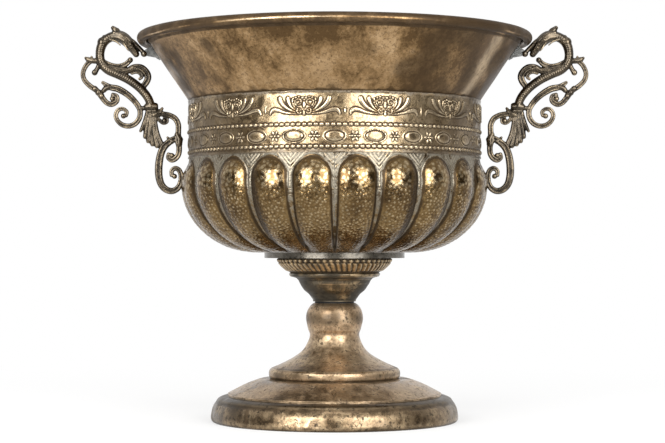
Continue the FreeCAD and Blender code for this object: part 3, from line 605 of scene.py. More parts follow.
for name, section, columns, node, seed in (("dome_turned", dome_section(), 420, "foot_dome", 22),
                                           ("stem_cast", stem_section(), 360, "pedestal_stem", 21)):
    spun(name, section, columns, [node], stem_paint, 0.5, 26, seed,
         soot_and_shade=foot_soot_and_shade, rub_and_highlight=foot_painted_light)
spun("plinth_pressed", plinth_section(), 420, ["foot_plinth"], plinth_paint, 0.7, 30, 31,
     soot_and_shade=plinth_soot_and_shade)
spun("cup_turned", cup_section(), 240, ["stem_cup"], cup_paint, 0.4, 16, 41, soot_and_shade=cup_soot_and_shade,
     rub_and_highlight=cup_rub)


# Fluted ring: flutes below, a row of beads above
def fluted_ring():
    columns, flutes, beads = 960, 60, 54
    turn = np.linspace(0, 2 * np.pi, columns, endpoint=False)
    base, top = ring_low.z, ring_high.z
    foot_radius, top_radius, seat_radius, hole_radius = 47.0, 58.2, 57.4, 38.0
    step = np.linspace(0, 1, 46)[:, None]
    radius = foot_radius + (top_radius - foot_radius) * np.sin(step * np.pi / 2)
    level = base + (top - base - 4.2) * step
    flute = np.abs(np.cos(flutes / 2 * turn + 2.2 * step)) ** 0.7
    flute = flute * (smooth_step(0.02, 0.12, step) - smooth_step(0.62, 0.72, step))
    bead = 1 - ((step - 0.82) / 0.17) ** 2 - np.sin(beads / 2 * turn) ** 2
    bead = np.sqrt(np.clip(bead, 0, 1))
    rows = [around(radius - 1.9 + 1.8 * flute + 1.7 * bead, turn, level)]
    back = [(seat_radius, top - 4.0), (seat_radius, top), (foot_radius, top), (hole_radius, top)]
    back += [(hole_radius, base), (hole_radius + 4.0, base)]
    rows += [around(r, turn, z)[None] for r, z in back]
    verts, quads = skin(np.concatenate(rows))
    lightening = np.concatenate([1.3 * np.maximum(flute, bead) - 0.75, np.zeros((len(back), columns))])
    piece("ring_fluted", verts, quads, ["gadroon_ring"], ring_paint, {"wear_and_light": lightening})


fluted_ring()


# Embossed band, its ornament as strokes of x, y and half width
def coil(x, y, start_radius, end_radius, start, turns, half, steps=14):
    rows = []
    for k in range(steps + 1):
        t = k / steps
        radius = start_radius + (end_radius - start_radius) * t
        angle = math.radians(start) + turns * 2 * math.pi * t
        rows.append((x + radius * math.cos(angle), y + radius * math.sin(angle), half * (1 - 0.25 * t)))
    return rows


palmette_half = [
    [(-3, 0.5, 0.7), (-12, 1.2, 0.9), (-19, 2.4, 1.3), (-25.5, 4.6, 1.9), (-30.2, 5, 2.1),
     (-32.8, 2.6, 1.5), (-33.2, 0.2, 0.7)],
    [(-8, 2.6, 0.6), (-14.5, 5.2, 1.3), (-19.6, 8.8, 1.9), (-22.8, 13, 2.3), (-23.6, 15.6, 2.2)],
    [(-7.2, 3.6, 0.5), (-11.4, 6.6, 1.1), (-14.4, 10.6, 1.6), (-15.6, 14.4, 1.9), (-15.6, 15.8, 1.7)],
    [(-7, 5, 0.4), (-9.6, 8.6, 0.8), (-10.9, 12.2, 0.9), (-10.6, 15.2, 0.9)],
    coil(-5.2, 11.6, 3.9, 1, 230, -1.3, 0.95),
    [(-5.3, 11.5, 1), (-5.1, 11.7, 1)],
    coil(-4.6, 3.9, 2.7, 0.9, 320, -1.1, 0.9),
    [(-4.7, 3.9, 0.9), (-4.5, 4, 0.9)],
    [(-8, 15.8, 1.1), (-7.8, 16, 1.1)], [(-4.9, 16.7, 1.2), (-4.7, 16.8, 1.2)],
    [(-1.8, 15.6, 1.2), (-1.7, 15.9, 1.2)], [(-9.3, 12.6, 0.8), (-9.3, 12.9, 0.8)]]
palmette_middle = [[(0, 0.4, 1.5), (0, 2, 1.2), (0, 3.6, 0.7)],
                   [(0, 7.4, 1.4), (0, 9.6, 1.7), (0, 11.8, 1.2)]]
divider = [[(0, 0.6, 0.5), (0, 2.6, 1.2), (0, 5.4, 0.7), (0, 7, 0.4)]]
rosette = [[(-0.2, 0, 1.5), (0.2, 0, 1.5)]]
rosette += [[(r * math.cos(t), r * math.sin(t), half) for r, half in ((2.1, 0.6), (3.6, 1.25), (4.8, 0.8))]
            for t in np.radians(np.arange(0, 360, 60))]


def mirrored(strokes):
    return strokes + [[(-x, y, half) for x, y, half in stroke] for stroke in strokes]


# Height of raised strokes, each with a groove round it
def raised(u, v, strokes, rise, groove):
    height = np.zeros(u.shape)
    for stroke in strokes:
        near = np.full(u.shape, np.inf)
        beyond = np.full(u.shape, np.inf)
        for x, y, half in spline(stroke, 10):
            far = np.hypot(u - x, v - y)
            near = np.minimum(near, far / half)
            beyond = np.minimum(beyond, far - half)
        swell = rise * np.clip(1 - near ** 2.4, 0, 1) ** 0.6
        height = np.where(beyond < 0, np.maximum(height, swell), height)
        height = height - groove * peak(beyond, 0.25, 0.38)
    return height


# The ornament of one tile, repeated round the band
def band_relief():
    tile, tiles, rows, back_rows, pearls = 140, 12, 118, 40, 168
    tile_turn, first_turn = 360 / tiles, -11.2
    palmette_level, oval_level, pearl_levels = 295.6, 276.0, (286.85, 266.45)
    turn = ((np.arange(tile) + 0.5) / tile - 0.5) * tile_turn
    level = np.linspace(band_base, band_top, rows)
    u, v = np.meshgrid(np.radians(turn) * band_radius, level)
    width = np.radians(tile_turn) * band_radius
    height = raised(u, v - palmette_level, mirrored(palmette_half) + palmette_middle, 1.15, 0.7)
    for side in (-0.5, 0.5):
        height = np.maximum(height, raised(u - side * width, v - palmette_level - 0.8, divider, 0.8, 0.4))
    for line, half, depth in ((316.4, 0.5, 0.35), (293.4, 0.4, 0.3), (290.0, 0.45, 0.4), (283.6, 0.45, 0.4),
                              (269.8, 0.45, 0.4), (263.0, 0.45, 0.4)):
        height -= depth * peak(v, line, half)
    pitch = 2 * np.pi * band_radius / pearls
    along = ((u / pitch + 0.5) % 1 - 0.5) * pitch
    for line in pearl_levels:
        pearl = 1 - (along / 2.45) ** 2 - ((v - line) / 1.75) ** 2
        height = np.maximum(height, 1.6 * np.sqrt(np.clip(pearl, 0, 1)))
        height -= 0.3 * peak(np.abs(along), pitch / 2, 0.5) * (np.abs(v - line) < 1.9)
    cell = width / 2
    place = u + np.radians(first_turn) * band_radius
    oval = np.hypot(((place / cell + 0.5) % 1 - 0.5) * cell / 8.8, (v - oval_level) / 5.0)
    height = np.maximum(height, 1.7 * np.clip(1 - oval ** 3.2, 0, 1) ** 0.55)
    height -= 0.45 * peak(oval, 1.08, 0.05)
    height = np.maximum(height, 0.6 * peak(oval, 1.2, 0.06))
    rose_u = (place / cell % 1 - 0.5) * cell
    rose = raised(rose_u, v - oval_level, rosette, 0.7, 0.5)
    height = np.maximum(height, np.where(np.abs(rose_u) < 7, rose, -9))
    height = np.tile(height, (1, tiles))
    columns = tile * tiles
    turn = np.radians(first_turn - 90 + np.concatenate([turn + tile_turn * k for k in range(tiles)]))
    z = np.repeat(level[:, None], columns, 1)
    base = around(band_radius, turn, z)
    ends = smooth_step(band_base, band_base + 3, z) * smooth_step(band_top, band_top - 3, z)
    height = height * (0.86 + 0.14 * lumps(base, 22, 5)) + 0.35 * lumps(base, 34, 6) * ends - 0.35 * ends
    aside = smooth_step(20.0, 44.0, np.abs(front_turn(base)))
    height = height + (0.16 + 0.16 * aside) * (lumps(base, 7, 7) - 1) * ends
    ragged = np.clip(lumps(base, 9, 8) * 0.7 + 0.4, 0, 1)
    z = z - ragged * smooth_step(band_top - 4, band_top, z) * 0.9
    outer = around(band_radius + np.clip(height, -0.9, 1.85), turn, z)
    inner = around(band_back_radius, turn, np.linspace(band_top - 1.1, band_base, back_rows)[:, None])
    points = np.concatenate([outer, inner])
    verts, quads = skin(points)
    seams = 0.75 * smooth_step(band_top - 7, band_top, level)
    seams = seams + 0.75 * smooth_step(band_base + 5, band_base, level)
    chalk = np.repeat(np.concatenate([seams, np.full(back_rows, 0.3)])[:, None], columns, 1)
    # Painted shade: the band darker towards its sides, with random dirt and dark seams along its top and
    # base
    soot_and_shade = 0.7 * smooth_step(20.0, 40.0, np.abs(front_turn(points))) + 0.3 * lumps(points, 19, 9)
    soot_and_shade = np.maximum(soot_and_shade, smooth_step(band_top - 1.6, band_top - 0.6, points[..., 2]))
    soot_and_shade = np.maximum(soot_and_shade, smooth_step(band_base + 1.4, band_base + 0.4, points[..., 2]))
    piece("band_embossed", verts, quads, ["frieze_band"], band_paint,
          {"wear_and_light": wear_of(verts, quads, 5, 3.4), "channel": chalk, "soot_and_shade": soot_and_shade})


band_relief()


# Lobed bowl: arched lobes with hammer marks, chased spandrels and stamped channels
def hammer_marks(across, down, lobe, size):
    cell_across, cell_down = np.floor(across / size), np.floor(down / size)
    best = np.zeros(across.shape)
    cells, seed = 64, 77
    table = np.random.default_rng(seed).random((cells, cells, 3))
    for i in (-1, 0, 1):
        for j in (-1, 0, 1):
            near_across, near_down = cell_across + i, cell_down + j
            draw = table[(near_across + lobe * 17).astype(int) % cells,
                         (near_down + lobe * 5).astype(int) % cells]
            gap = (across - (near_across + draw[..., 0]) * size) ** 2
            gap = gap + (down - (near_down + draw[..., 1]) * size) ** 2
            mark = np.clip(1 - gap / (0.62 * size) ** 2, 0, 1)
            best = np.maximum(best, mark * (0.55 + 0.45 * draw[..., 2]))
    return best


# Rows of the bowl's crest, from the lip to the bore: radius, level, outward normal and depth of the channels
def bowl_crest():
    belly_level = bowl_base + belly_height
    across = belly_radius - flat_radius
    top_turn = math.acos((lip_radius - flat_radius) / across)
    climb = (band_base - belly_level) / math.sin(top_turn)

    def crest(turn, height):
        normal = np.array([math.cos(turn) / across, math.sin(turn) / height])
        normal /= np.linalg.norm(normal)
        return flat_radius + across * math.cos(turn), belly_level + height * math.sin(turn), *normal

    rows = [(lip_radius, z, 1.0, 0.0, 0.0) for z in np.linspace(bowl_high.z, band_base + 0.6, 6)]
    for turn in np.linspace(top_turn, 0, 44):
        row = crest(turn, climb)
        share = (band_base - row[1]) / (band_base - belly_level)
        rows.append((*row, row[0] - lip_radius - (belly_radius - channel_depth - lip_radius) * share))
    for turn in np.linspace(0, -math.pi / 2, 170)[1:]:
        row = crest(turn, belly_height)
        rows.append((*row, channel_depth * min(1, max(0, (row[0] - lobe_toe_radius) / lobe_toe_length))))
    rows += [(radius, bowl_base, 0.0, -1.0, 0.0) for radius in np.linspace(flat_radius, rod_bore, 16)[1:]]
    return np.array(rows)


def bowl_relief():
    lobe_columns, coarse_size, fine_size = 68, 4.4, 3.1
    hatch_pitch, stamp_pitch, seam_turn = 2.9, 6.4, 270
    columns = lobe_count * lobe_columns
    turn = (np.arange(columns) + 0.5) / columns * 2 * np.pi
    pitch = np.pi / lobe_count
    lobe = np.floor((turn + pitch) / (2 * pitch)).astype(int) % lobe_count
    local = (turn + pitch) % (2 * pitch) - pitch
    rows = bowl_crest()
    radius, level, out, rise, depth = (column[:, None] for column in rows.T)
    run = np.concatenate([[0], np.cumsum(np.hypot(*np.diff(rows[:, :2], axis=0).T))])[:, None]
    slim = np.clip((belly_radius - radius) / (belly_radius - lobe_toe_radius), 0, 1)
    width_share = lobe_width_share + (lobe_toe_width_share - lobe_width_share) * slim ** 0.8
    half_width = belly_radius * pitch * lobe_width_share
    over_top = np.maximum(0, (level - band_base + lobe_top_drop + half_width) / half_width)
    spread = (local / (pitch * width_share)) ** 2 + over_top ** 2
    lift = depth * (np.clip(1 - spread, 0, 1) ** 0.7 - 1)
    gap = (np.sqrt(spread) - 1) * half_width
    inside = smooth_step(0.93, 0.74, np.sqrt(spread))
    reach_low = smooth_step(76.0, 90.0, radius)
    low = smooth_step(234.0, 222.0, level)

    # Hammer marks, coarse above and fine below
    across = local * radius
    down = run + 0 * across
    coarse = hammer_marks(across + 60.0, down, lobe, coarse_size)
    fine = hammer_marks(across + 61.0, down + 2.0, lobe + 3, fine_size)
    marks = coarse * (1 - low) + fine * low
    detail = (0.17 + 0.26 * low) * (marks - 1) * inside * reach_low

    # Line and raised edge round each arch, hatched spandrels, stamped channels and the seam at the front
    above = smooth_step(214.0, 236.0, level) * smooth_step(band_base + 0.2, band_base - 1.5, level)
    detail += (0.25 * peak(gap, 0.2, 0.8) - 0.38 * peak(gap, 1.6, 0.5)) * above
    from_channel = (pitch - np.abs(local)) * radius
    spandrel = smooth_step(2.0, 2.8, gap) * smooth_step(243.5, 246.0, level)
    spandrel = spandrel * smooth_step(band_base + 0.5, band_base - 1.0, level)
    hatch = np.cos(2 * np.pi * (level * 0.72 - from_channel * 0.7) / hatch_pitch)
    detail -= 0.4 * smooth_step(0.1, 0.9, hatch) * spandrel
    in_channel = smooth_step(0.4, 1.6, gap) * smooth_step(244.0, 241.0, level)
    in_channel = in_channel * smooth_step(205.0, 222.0, level)
    stamp = np.hypot(from_channel, (run / stamp_pitch % 1 - 0.5) * stamp_pitch)
    detail -= 0.26 * peak(stamp, 2.3, 0.5) * in_channel
    seam = peak(np.degrees(turn), seam_turn, 0.16) * reach_low
    seam = seam * smooth_step(band_base, band_base - 4, level)
    detail -= 0.45 * seam

    # Outer skin with dents, and a plainer back
    push = lift + detail
    outer = around(radius + out * push, turn, level + rise * push)
    dent = lumps(outer, 30, 51) * 0.5 * reach_low * smooth_step(band_base + 1, band_base - 8, level)
    dent = (dent - 0.5 * reach_low * (level < band_base)) * out * 0.5
    outer[..., 0] += dent * np.cos(turn)
    outer[..., 1] += dent * np.sin(turn)
    last = len(rows)
    keep = np.unique(np.concatenate([np.arange(6), np.arange(6, last - 15, 3), np.arange(last - 16, last)]))
    back = (lift - 1.1 + 0.6 * detail * (gap < 0))[keep]
    inner = around(radius[keep] + out[keep] * back, turn, level[keep] + rise[keep] * back)[::-1]
    points = np.concatenate([outer, inner])
    verts, quads = skin(points)

    def marked(field, behind=0.0):
        return np.concatenate([field, np.full((len(keep), columns), behind)]).ravel()

    # Chalky channels, darker towards the bottom, painted shade on the outer flanks, hammer marks scuffed
    # lighter and the upper lobes lighter as painted highlight
    chalk = smooth_step(-1.2, 1.2, gap) * (0.5 + 0.28 * smooth_step(180.0, 240.0, level))
    outwards = local / pitch * np.sign(np.cos(turn)) * np.sign(-np.sin(turn))
    flank_shade = smooth_step(0.25, 0.7, outwards) * smooth_step(0.12, 0.5, np.abs(np.cos(turn)))
    flank_shade = flank_shade * smooth_step(1.0, -0.5, gap) * reach_low
    soot_and_shade = 0.42 * smooth_step(232.0, 205.0, level) + 0.22 * lumps(outer, 12, 54)
    soot_and_shade = soot_and_shade + 0.5 * peak(gap, -0.4, 0.9) + 0.75 * flank_shade
    beaten_and_highlight = ((0.30 - 0.15 * low) * marks + 0.02 - 0.11 * low) * inside * reach_low - 0.45 * flank_shade
    beaten_and_highlight = beaten_and_highlight - 1.4 * seam - 0.7 * peak(gap, -1.2, 1.3) * reach_low
    wear_and_light = wear_of(verts, quads, 4, 3.4) * marked(1 - 0.22 * low * inside, 1.0) + marked(beaten_and_highlight)
    piece("bowl_hammered", verts, quads, ["lobed_bowl_left", "lobed_bowl_right"], bowl_paint,
          {"wear_and_light": np.clip(wear_and_light, -1, 1), "channel": marked(chalk, 0.1), "soot_and_shade": marked(soot_and_shade)})


bowl_relief()


# Cast scroll handles, as strokes in pixels of the photograph, of 1 mm each: x, y and half width
serpent = [
    (135.5, 54, 3.2), (131.5, 48, 4.2), (126, 41, 5.6), (119.5, 36.6, 5.8), (112.5, 36.2, 4.8),
    (105.2, 39.6, 4.8), (100.6, 46, 4.8), (99.2, 55, 4.5), (101.2, 63, 4.6), (107.5, 69.5, 4.7),
    (117, 73.8, 4.6), (127.3, 78.8, 4.5), (136.5, 85, 4.4), (143.5, 91.5, 4.4), (148.5, 98.5, 4.3),
    (151.3, 106, 4.2)]
scrolls = [
    [(91.5, 59.8, 2.5), (85.8, 65, 2.6), (82.6, 72.5, 2.5), (84, 79.5, 2.6), (89.8, 85.6, 2.8),
     (97, 90.5, 3), (102, 97, 3), (106.8, 102.2, 2.9), (112, 103.8, 2.8), (116.8, 100.6, 2.6),
     (116.6, 95.8, 2.4), (112.8, 94.2, 2.2)],
    [(102.5, 82.2, 1.8), (109.5, 86.6, 3.2), (118, 88.6, 3.6), (127, 93.8, 3.4), (134.5, 100.6, 3.1),
     (139.4, 107.6, 3), (140.4, 113.5, 2.9), (139, 118.8, 2.9), (135, 123.4, 2.8), (129, 125.4, 2.8),
     (122.4, 124, 2.7), (117.6, 119.6, 2.5), (116, 114.4, 2.4), (118.3, 109.6, 2.3), (122.9, 108.3, 2.1),
     (126.9, 111.2, 2.1), (126.2, 114.8, 2.2)],
    [(154, 114.6, 2.8), (161, 113.4, 2.8), (168.6, 114.4, 2.9), (175.2, 117.8, 3), (178.5, 123.6, 3),
     (178.8, 130.4, 3), (178.4, 138.6, 3.5), (179.8, 146, 3.1), (179.4, 152.8, 3), (176.6, 157.4, 2.9),
     (172.6, 159.2, 2.7), (169.2, 156.8, 2.5), (169.6, 153.6, 2.4)],
    [(178, 136.6, 3), (171, 140.4, 3.5), (164.8, 146, 3.9), (161.4, 153.6, 4), (159.8, 164, 4.1),
     (160, 174.6, 4), (162.4, 183, 3.8), (167.2, 188.2, 3.6), (173.4, 189.8, 3.4), (178.8, 187.2, 3.2),
     (181.8, 181.6, 3), (182.2, 174.4, 2.8), (180, 169, 2.7), (176, 167.3, 2.6), (172.8, 170, 2.4),
     (172.8, 174, 2.3)],
    [(126.5, 71, 3), (133, 67.4, 3.5), (140.3, 67.6, 3.8), (145.8, 72.2, 3.8), (147.6, 77.2, 3.6),
     (145.6, 82.6, 3.4), (141, 88, 3)],
    [(102, 61, 2.6), (110, 65, 2.9), (118, 66.2, 2.9), (125, 64, 2.8), (129.3, 60.2, 2.6)],
    [(156.6, 114.8, 2), (159.4, 119.2, 2), (163.6, 122.4, 2), (167.2, 121.2, 1.9), (167, 118, 1.8),
     (164.6, 117.8, 1.8)],
    [(131.6, 72.6, 2), (135.4, 71.4, 2.2), (139.4, 72.8, 2.1), (141.4, 76.4, 1.9), (139.2, 78.6, 1.6)]]
leaves = [
    [(148.2, 108, 2), (146.4, 117, 2.3), (143.8, 125, 2.3), (140.9, 130.4, 1.5)],
    [(149.4, 108, 2.2), (149, 119, 2.6), (147, 129, 2.9), (146, 136, 2.6)],
    [(150.8, 108, 2.2), (151, 121, 2.6), (149.8, 132, 2.9), (149.2, 140.2, 2.7)],
    [(152.2, 108, 2.2), (152.6, 121, 2.6), (152.4, 133, 3), (153.4, 143.2, 2.8)],
    [(153.6, 108, 2.2), (154.2, 121, 2.5), (155.2, 133, 3), (158, 144.8, 2.9)],
    [(154.6, 108, 2), (155.4, 120, 2.2), (157.6, 133, 2.8), (163, 145.6, 2.8)]]
plain = [
    [(119, 36, 3.6), (116, 32.2, 3.3), (113.4, 29.4, 3), (111.8, 27.8, 2.2)],
    [(117.6, 33.6, 2), (117.6, 30.6, 1.5), (116.4, 28.8, 1.1)],
    [(126, 38.5, 3.2), (132.2, 42, 2.6), (136.4, 45.8, 2.3), (140.2, 49.6, 2.2), (143.3, 53.5, 2.4)],
    [(106, 66.4, 3.2), (116, 69.5, 3.6), (126, 70.5, 3.4), (134, 67.6, 3)],
    [(99, 60.8, 2.8), (91, 60.4, 2.9), (86.6, 58.8, 2.4), (84.9, 57.8, 1.5)],
    [(93, 60.6, 2.2), (91.2, 58.2, 1.6), (90.8, 56.4, 1.1)],
    [(103.6, 90, 2.6), (105.5, 88, 2.8), (109.5, 86.6, 2.8)],
    [(147.4, 106.4, 3.9), (151.3, 106, 4.6), (155, 105.8, 3.9)],
    [(148, 110.2, 2.4), (151.3, 110.4, 3), (154.8, 110.2, 2.4)],
    [(139.6, 108, 2.2), (145.5, 107.4, 2.4)],
    [(154, 114.6, 3), (159.4, 112, 2.6), (162.4, 107.8, 1.4)],
    [(157.6, 113.4, 2.4), (159, 109.8, 1.5)],
    [(172.6, 140.6, 2.8), (169.6, 138.4, 2), (168, 136.6, 1.2)],
    [(177.6, 134, 2.8), (180, 138.6, 3.4), (179.6, 143.6, 3)],
    [(99, 63, 2.4), (96.6, 68.6, 2.4), (94.4, 72, 2.9)],
    [(126.2, 114.8, 2), (123.6, 115.4, 2)], [(112.8, 94.2, 2), (112.2, 98.2, 2)],
    [(169.6, 153.6, 2), (172.6, 154.6, 2)], [(172.8, 174, 2), (175.6, 175.2, 2)]]
balls = [
    (143.3, 53.5, 3.4), (129.6, 59.8, 2.9), (94.2, 72.2, 3.1), (123.6, 115.4, 2.7),
    (112.2, 98.2, 2.6), (164.6, 120.2, 2.7), (172.6, 154.6, 2.7), (175.6, 175.2, 2.7), (135.5, 54, 3.3),
    (101.6, 42.2, 5.4), (94.6, 88.4, 3.2), (98.2, 92, 3.4), (101.4, 95.6, 3.2), (181.2, 138.6, 2.6),
    (181, 143.2, 2.2), (103.6, 37.6, 3)]

# Lower seat and upper rivet of the handle, in pixels and in millimetres
seat_pixel, pin_pixel = (182.6, 178.0), (143.3, 53.5)
seat_place, pin_place = (153.1, 241.0), (190.7, 366.6)


def handle_point(x, y):
    rise = (seat_pixel[1] - y) / (seat_pixel[1] - pin_pixel[1])
    line_x = seat_pixel[0] + (pin_pixel[0] - seat_pixel[0]) * rise
    return (seat_place[0] + (pin_place[0] - seat_place[0]) * rise + line_x - x,
            seat_place[1] + (pin_place[1] - seat_place[1]) * rise)


# Rings of points in a row, closed at both ends by a point each
def closed(rings, ends):
    count, sides = rings.shape[:2]
    last, top = count * sides, (count - 1) * sides
    faces = [tuple(quad) for quad in ring_quads(count, sides, False)]
    for k in range(sides):
        after = (k + 1) % sides
        faces += [(last, after, k), (last + 1, top + k, top + after)]
    return np.vstack([rings.reshape(-1, 3), ends]), faces


# A tube along a stroke with rounded ends, its section shaped by the style of the stroke
def tube(stroke, style, sides=20, offset=0.0):
    scale_pitch, step_length, least_half = 2.3, 0.5, 0.6
    line = spline([(*handle_point(x, y), half) for x, y, half in stroke], 14)
    path, half = line[:, :2], np.maximum(line[:, 2], least_half)
    run = np.concatenate([[0], np.cumsum(np.linalg.norm(np.diff(path, axis=0), axis=1))])
    steps = max(8, int(run[-1] / step_length))
    t = np.linspace(0, run[-1], steps)
    path = np.stack([np.interp(t, run, path[:, k]) for k in range(2)], 1)
    half = np.interp(t, run, half)
    tangent = np.gradient(path, axis=0)
    tangent /= np.linalg.norm(tangent, axis=1)[:, None]
    side = np.stack([-tangent[:, 1], tangent[:, 0]], 1)
    angle = np.linspace(0, 2 * np.pi, sides, endpoint=False)
    wide, thick = np.cos(angle)[None, :], np.sin(angle)[None, :]
    reach = half[:, None] * np.ones((1, sides))
    if style == "serpent":
        ridge = np.abs((t / scale_pitch) % 1 - 0.5) * 2
        body = smooth_step(run[-1] * 0.22, run[-1] * 0.3, t)
        reach = reach * (1 + 0.07 * ((ridge - 0.5) * body)[:, None] * (0.4 + 0.6 * np.abs(thick)))
        reach = reach * (1 + 0.05 * np.cos(6 * angle)[None, :] * (1 - body)[:, None])
    if style == "scroll":
        reach = reach * (1 - 0.4 * np.exp(-((np.abs(thick) - 1) / 0.12) ** 2) - 0.03)
    if style == "leaf":
        reach = reach * (1 + 0.06 * np.cos(5 * angle)[None, :])

    def rings(centre, aside, size):
        x, z = (centre[:, k:k + 1] + aside[:, k:k + 1] * wide * size for k in (0, 1))
        return np.stack([x, offset + thick * size, z], -1)

    def cap(end, sign):
        bend = np.array([[0.5], [0.85]])
        return rings(path[end] + sign * tangent[end] * half[end] * bend, side[[end]],
                     half[end] * np.sqrt(1 - bend * bend))

    grid = np.concatenate([cap(0, -1)[::-1], rings(path, side, reach), cap(-1, 1)])
    return closed(grid, [grid[0].mean(0), grid[-1].mean(0)])


def ball(x, y, half, offset=0.0):
    centre_x, centre_z = handle_point(x, y)
    count, sides = 9, 16
    lean = np.pi * np.arange(count - 1, 0, -1)[:, None] / count
    rings = around(half * np.sin(lean), 2 * np.pi * np.arange(sides) / sides, half * np.cos(lean))
    centre = np.array([centre_x, offset, centre_z])
    return closed(rings + centre, [centre - (0, 0, half), centre + (0, 0, half)])


head_lines = [
    [(113, 33, 0.9), (119, 33.8, 1), (125, 38.4, 1), (130, 45, 0.9)],
    [(112, 37, 0.8), (118, 38.6, 0.9), (123, 43.4, 0.9), (127.4, 50, 0.8)],
    [(109, 39.6, 0.8), (115, 41.4, 0.8), (119, 44.6, 0.7)]]
leaf_lines = [[(110, 67.4, 0.8), (118, 69.6, 0.9), (126, 69.6, 0.8), (133, 66.4, 0.7)],
              [(112, 70.2, 0.7), (119, 72, 0.8), (127, 72.2, 0.7)]]


def handle_cast(name, node, sign):
    meshes = [tube(serpent, "serpent", 28)]
    meshes += [tube(s, "scroll", 24) for s in scrolls]
    meshes += [tube(s, "leaf", 20, shift) for s, shift in zip(leaves, (0.0, 0.5, 0.0, 0.5, 0.0, 0.0))]
    meshes += [tube(s, "plain") for s in plain]
    for depth in (3.7, -3.7):
        meshes += [tube(s, "plain", 10, depth * 1.1) for s in head_lines]
        meshes += [tube(s, "plain", 10, depth * 0.62) for s in leaf_lines]
        meshes.append(ball(123.4, 40.6, 1.5, depth * 1.25))
        meshes.append(ball(131.2, 47.6, 1.0, depth * 0.95))
    meshes += [ball(*b) for b in balls]
    verts, faces, start = [], [], 0
    for points, parts in meshes:
        verts.append(points)
        faces += [tuple(int(k) + start for k in part) for part in parts]
        start += len(points)
    verts = np.vstack(verts)
    mesh = bpy.data.meshes.new(name + "_rough")
    mesh.from_pydata((verts * MM).tolist(), [], faces)
    rough = bpy.data.objects.new(name + "_rough", mesh)
    bpy.context.scene.collection.objects.link(rough)
    fuse = rough.modifiers.new("fuse", "REMESH")
    fuse.mode = "VOXEL"
    fuse.voxel_size = 0.00045
    relax = rough.modifiers.new("relax", "SMOOTH")
    relax.factor = 0.4
    relax.iterations = 2
    fused = bpy.data.meshes.new_from_object(rough.evaluated_get(bpy.context.evaluated_depsgraph_get()))
    bpy.data.objects.remove(rough)
    points = np.zeros(len(fused.vertices) * 3)
    fused.vertices.foreach_get("co", points)
    points = points.reshape(-1, 3) / MM
    points[:, 0] *= sign
    quads = np.zeros(len(fused.loops), int)
    fused.loops.foreach_get("vertex_index", quads)
    quads = quads.reshape(-1, 4)
    wear_and_light = np.clip(wear_of(points, quads, 6, 2.0) - 0.12, -1, 1)
    piece(name, points, quads, [node], handle_paint, {"wear_and_light": wear_and_light}, 60)


handle_cast("handle_cast_right", "handle_right", 1)
handle_cast("handle_cast_left", "handle_left", -1)


# Floor, light and camera
def floor_paint():
    material = bpy.data.materials.new("pale_floor")
    material.use_nodes = True
    tree = material.node_tree
    shader = tree.nodes["Principled BSDF"]
    shader.inputs["Base Color"].default_value = (0.86, 0.86, 0.855, 1)
    shader.inputs["Roughness"].default_value = 0.7
    white = add(tree, "Emission", Strength=1.0)
    rays = add(tree, "LightPath").outputs
    seen = maths(tree, "MAXIMUM", rays["Is Camera Ray"], rays["Is Glossy Ray"])
    seen = maths(tree, "MAXIMUM", seen, rays["Is Transmission Ray"])
    spot = add(tree, "NewGeometry").outputs["Position"]
    away = add(tree, "VectorMath", operation="LENGTH")
    join(tree, spot, away.inputs[0])
    glow = grey_of(tree, away.outputs["Value"], 0.12, 0.9, 0.6, 1.0)
    across = add(tree, "SeparateXYZ")
    join(tree, spot, across.inputs[0])
    # Painted shade: the floor glows dimmer in front of the object, so the metal reflects a darker floor
    # there
    front = grey_of(tree, across.outputs["Y"], -0.85, -0.22, 0.42, 1.0)
    join(tree, front, white.inputs["Strength"])
    both = add(tree, "MixShader")
    join(tree, times(tree, seen, glow), both.inputs[0])
    join(tree, shader.outputs[0], both.inputs[1])
    join(tree, white.outputs[0], both.inputs[2])
    join(tree, both.outputs[0], tree.nodes["Material Output"].inputs["Surface"])
    return material


ground = bpy.data.meshes.new("floor")
size, cuts = 120.0, 24
places = [(k / cuts - 0.5) * size for k in range(cuts + 1)]
corners = [j * (cuts + 1) + i for j in range(cuts) for i in range(cuts)]
ground.from_pydata([(x, y, 0.0) for y in places for x in places], [],
                   [(k, k + 1, k + cuts + 2, k + cuts + 1) for k in corners])
ground.materials.append(floor_paint())
floor = bpy.data.objects.new("floor", ground)
bpy.context.scene.collection.objects.link(floor)


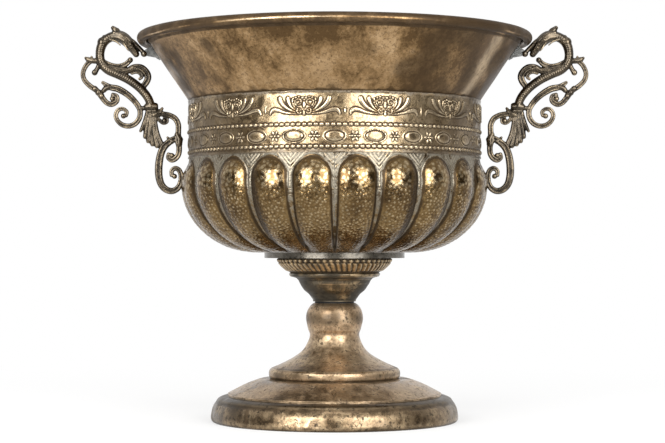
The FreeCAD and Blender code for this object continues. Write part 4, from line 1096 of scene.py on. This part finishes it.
def lamp(name, place, target, width, height, power):
    light = bpy.data.lights.new(name, "AREA")
    light.shape = "RECTANGLE"
    light.size, light.size_y = width, height
    light.energy = power
    obj = bpy.data.objects.new(name, light)
    bpy.context.scene.collection.objects.link(obj)
    obj.location = place
    obj.rotation_euler = (Vector(target) - Vector(place)).to_track_quat("-Z", "Y").to_euler()


lamp("soft_left", (-1.0, -1.70, 0.80), (0, 0, 0.80), 1.15, 1.55, 46)
lamp("soft_right", (1.0, -1.70, 0.80), (0, 0, 0.80), 1.15, 1.55, 42)
lamp("soft_top", (0, -0.5, 2.3), (0, 0, 0.2), 1.2, 1.2, 10)

# Studio round the object: white behind it, dimmer at the sides and behind the camera
world = bpy.data.worlds.new("studio")
bpy.context.scene.world = world
world.use_nodes = True
sky = world.node_tree
direction = add(sky, "SeparateXYZ")
join(sky, add(sky, "TexCoord").outputs["Generated"], direction.inputs[0])
azimuth = maths(sky, "ARCTAN2", direction.outputs["X"], direction.outputs["Y"])
share = maths(sky, "ADD", times(sky, azimuth, 1 / (2 * math.pi)), 0.5)
greys = [(0.0, 0.42), (0.10, 0.36), (0.17, 0.2), (0.24, 0.2), (0.31, 1.0), (0.69, 1.0), (0.76, 0.12),
         (0.84, 0.16), (0.91, 0.36), (1.0, 0.42)]
tone = ramp_of(sky, share, [(place, (grey,) * 3) for place, grey in greys])
high = grey_of(sky, direction.outputs["Z"], 0.25, 0.6)
sheen = blend(sky, high, tone, (0.8, 0.8, 0.8))
join(sky, sheen, sky.nodes["Background"].inputs["Color"])
sky.nodes["Background"].inputs["Strength"].default_value = 1.0

# Camera: places in metres, focal length and width of the photograph in pixels
focal_pixels, photo_width = 1860, 665
eye = Vector((-0.002, -1.86, 0.1751))
aim = Vector((-0.002, 0, 0.1751 + 0.0235))
camera = bpy.data.cameras.new("camera")
camera.sensor_width = 36.0
camera.lens = camera.sensor_width * focal_pixels / photo_width
view = bpy.data.objects.new("camera", camera)
bpy.context.scene.collection.objects.link(view)
view.location = eye
view.rotation_euler = (aim - eye).to_track_quat("-Z", "Y").to_euler()
bpy.context.scene.camera = view
bpy.context.scene.view_settings.view_transform = "Standard"

bpy.context.view_layer.update()
